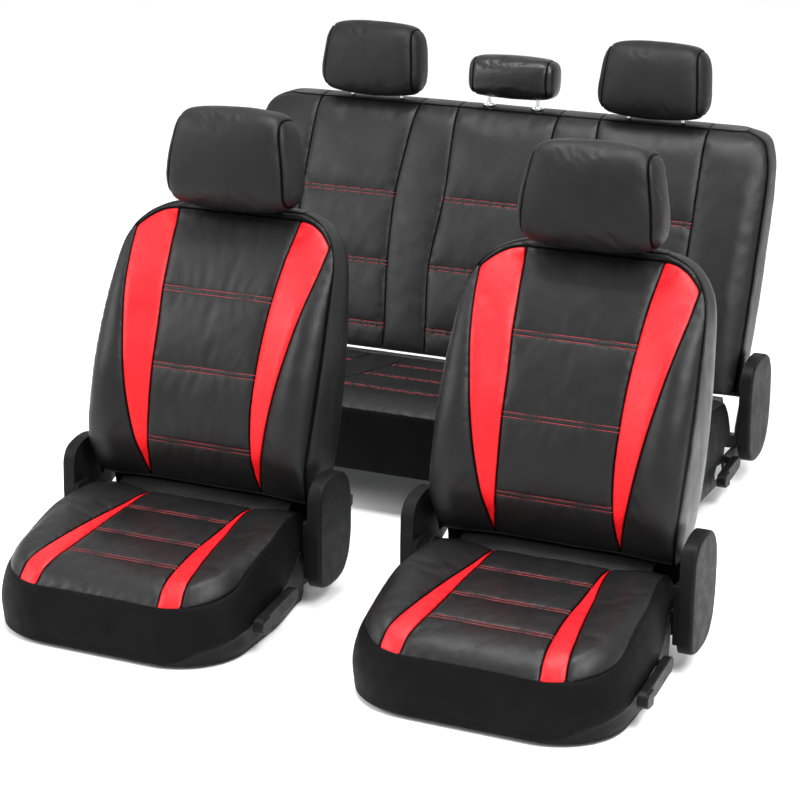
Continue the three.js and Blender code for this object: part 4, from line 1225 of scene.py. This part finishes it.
back_polygons = []
cushion_polygons = []
for side in (-1, 1):
    back_polygons.append(np.vstack([
        line_at(BACK_INSERT_INNER, side, np.linspace(182, 676, 80)),
        spline(SHOULDER, 40) * [side, 1],
        line_at(BACK_INSERT_OUTER, side, np.linspace(640, 182, 80))]))
    cushion_polygons.append(np.vstack([
        line_at(CUSHION_INSERT_INNER, side, np.linspace(2, -394, 80)),
        [(side * 127, -410), (side * 172, -410)],
        line_at(CUSHION_INSERT_OUTER, side, np.linspace(-386, 2, 80))]))

cushion_sewn, cushion_wall = front_cushion()
back_sewn, back_wall, back_lid = front_back()
front_pad = headrest_pad(FRONT_HEADREST, 50)
back_masks = back_sewn.masks(back_polygons)
cushion_masks = cushion_sewn.masks(cushion_polygons)
back_threads = stitching(back_sewn, 5.0, 0.6)
cushion_threads = stitching(cushion_sewn, 5.0, 0.6)
recliner = joined([moulding(RECLINER_OUTLINE, 252.5, 280, 6.5, 14, 0.8),
                   moulding([(-68, 52), (-68, 166), (-24, 166), (-24, 52)], 254, 243, 2, 5)])
lever = joined([moulding(LEVER_BLADE, 259.5, 274, 3, 6), moulding(LEVER_GRIP, 258.5, 278, 3.4, 6),
                rod_x(245.2, 264, -160, 58, 7)])
valence = shield(FRONT_CUSHION, VALENCE_TOP, HEM_RIGHT, -40, 5.0)
front_tuck = tuck([(-34, 148), (-14, 160), (2, 169), (16, 172.5), (30, 168.5), (42, 157), (50, 140),
                   (52, 120), (50, 100)], 184, 7.0, 80)
back_apron = tuck([(59, 108), (60, 126), (58, 145), (54, 165), (50, 180)], 238, 7.0, 84)

for tag in FRONT_TAGS:
    seat, back = f"{tag}_seat", f"{tag}_backrest"
    put(tag, "cushion_panels", cushion_sewn.part(cushion_masks[-1]), "leather", seat,
        "cushion_cover cushion_foam", LEATHER)
    put(tag, "cushion_skirt", cushion_wall, "skirt", seat, "", FABRIC)
    put(tag, "cushion_tuck", front_tuck, "leather", seat, "", FLAP)
    put(tag, "back_panels", back_sewn.part(back_masks[-1]), "leather", back, "back_cover back_foam", LEATHER)
    put(tag, "back_gusset", back_wall, "leather", back, "", LEATHER)
    put(tag, "back_top", back_lid, "leather", back, "", LEATHER)
    put(tag, "back_apron", back_apron, "leather", back, "", FABRIC)
    for label, back_mask, cushion_mask in zip(("left", "right"), back_masks, cushion_masks):
        put(tag, f"back_red_{label}", back_sewn.part(back_mask), "red", back,
            f"back_insert_{label}", LEATHER)
        put(tag, f"cushion_red_{label}", cushion_sewn.part(cushion_mask), "red", seat,
            f"cushion_insert_{label}", LEATHER)
    put(tag, "back_stitching", back_threads, "thread", back)
    put(tag, "cushion_stitching", cushion_threads, "thread", seat)
    put(tag, "recliner_right", recliner, "plastic", seat, "recliner_cover_right")
    put(tag, "recliner_left", mirrored(recliner), "plastic", seat, "recliner_cover_left")
    put(tag, "side_moulding", valence, "plastic", seat, "side_shield", SHIELD_WALL)
    put(tag, "lever_paddle", lever, "dark", f"{tag}_lever", "recline_lever")
    put_headrest(tag, FRONT_HEADREST, front_pad, "head", "headrest_cover headrest_foam")
    put_collars(tag, FRONT_HEADREST, "dark")

bench_sewn, bench_wall = bench_cushion()
bench_back_sewn, bench_back_wall, bench_back_lid = bench_back()
bench_tuck = tuck([(858, 186), (869, 196), (874, 199), (877, 196), (882, 186), (892, 172), (906, 159),
                   (920, 148)], 588, 9.0, 82)
bench_recliner = moulding(BENCH_RECLINER, 625.5, 652, 6.5, 14, 0.8)
bench_lever = joined([moulding(BENCH_BLADE, 622.5, 637, 3, 6), moulding(BENCH_GRIP, 621.5, 641, 3.4, 6),
                      rod_x(606.5, 626, 856, 66, 7)])
put("rear", "cushion_panels", bench_sewn.part(), "leather", "floor", "cushion_cover cushion_foam", LEATHER)
put("rear", "cushion_skirt", bench_wall, "skirt", "floor", "", FABRIC)
put("rear", "cushion_tuck", bench_tuck, "leather", "floor", "", FLAP)
put("rear", "back_panels", bench_back_sewn.part(), "leather", "rear_backrest",
    "back_cover back_foam", LEATHER)
put("rear", "back_gusset", bench_back_wall, "leather", "rear_backrest", "", LEATHER)
put("rear", "back_top", bench_back_lid, "leather", "rear_backrest", "", LEATHER)
put("rear", "cushion_stitching", stitching(bench_sewn, 6.0, 0.65), "thread", "floor")
put("rear", "back_stitching", stitching(bench_back_sewn, 6.0, 0.65), "thread", "rear_backrest")
put("rear", "recliner_right", bench_recliner, "plastic", "floor", "recliner_cover_right")
put("rear", "recliner_left", mirrored(bench_recliner), "plastic", "floor", "recliner_cover_left")
put("rear", "lever_paddle", bench_lever, "dark", "rear_lever", "release_lever")

outer_pad = headrest_pad(OUTER_HEADREST, 60)
centre_pad = headrest_pad(CENTRE_HEADREST, 70, 5.0, 0.3)
for label, shift in (("_left", -2 * OUTER_HEADREST["centre"][0]), ("_right", 0)):
    put_headrest("rear", OUTER_HEADREST, outer_pad, "head", f"headrest{label}_cover", label, shift)
put_headrest("rear", CENTRE_HEADREST, centre_pad, "roll", "headrest_centre_cover", "_centre", 0)
put_collars("rear", CENTRE_HEADREST, "chrome")

# ---- carried-over metal parts

for name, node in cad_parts.items():
    if node.hide_render:
        continue
    kind = "plastic" if "shield" in name else "steel"
    node.data.materials.clear()
    node.data.materials.append(MATERIAL[kind])

# ---- stage, lights and camera


def look_at(obj, place, target):
    obj.location = place
    obj.rotation_mode = "QUATERNION"
    obj.rotation_quaternion = (Vector(target) - Vector(place)).to_track_quat("-Z", "Y")


def area_light(name, place, target, width, height, power):
    data = bpy.data.lights.new(name, "AREA")
    data.shape = "RECTANGLE"
    data.size, data.size_y = width, height
    data.energy = power
    obj = bpy.data.objects.new(name, data)
    bpy.context.scene.collection.objects.link(obj)
    look_at(obj, place, target)
    return obj


def stage_floor():
    s = Shader("floor_white")
    clouds = s.map(s.noise(2, 2), 0.3, 0.7, 0, 1)
    s.drive("Base Color", s.blend(clouds, (0.90, 0.90, 0.90), (0.93, 0.93, 0.93)))
    s.wear("Roughness", 0.7)
    s.wear("Specular IOR Level", 0.2)
    size = 14.0  # half the floor's width, m
    points = np.array([(-size, -size, 0), (size, -size, 0), (size, size, 0), (-size, size, 0)])
    floor = mesh_object("floor_plane", points, [(0, 1, 2, 3)], s.material)


stage_floor()
world = bpy.data.worlds.new("studio")
bpy.context.scene.world = world
world.use_nodes = True
world.node_tree.nodes["Background"].inputs["Color"].default_value = (1, 1, 1, 1)
world.node_tree.nodes["Background"].inputs["Strength"].default_value = 1.0

area_light("key", (2.4, -1.6, 3.0), (0, 0, 0.4), 1.5, 1.5, 170)
area_light("fill", (-3.0, -2.2, 2.2), (0, 0, 0.4), 1.6, 1.6, 90)
area_light("top", (0.0, -0.4, 3.6), (0, 0.0, 0.3), 2.2, 1.2, 150)

CAMERA_PLACE = (1.8162, -4.0022, 1.7346)
CAMERA_AZIMUTH = math.radians(24.69)
CAMERA_ELEVATION = math.radians(18.30)
camera_data = bpy.data.cameras.new("camera")
camera_data.sensor_width = 36
camera_data.lens = 104.0
camera = bpy.data.objects.new("camera", camera_data)
bpy.context.scene.collection.objects.link(camera)
forward = Vector((-math.sin(CAMERA_AZIMUTH) * math.cos(CAMERA_ELEVATION),
                  math.cos(CAMERA_AZIMUTH) * math.cos(CAMERA_ELEVATION),
                  -math.sin(CAMERA_ELEVATION)))
look_at(camera, CAMERA_PLACE, Vector(CAMERA_PLACE) + forward)
bpy.context.scene.camera = camera
bpy.context.scene.view_settings.view_transform = "Standard"
bpy.context.scene.view_settings.look = "None"
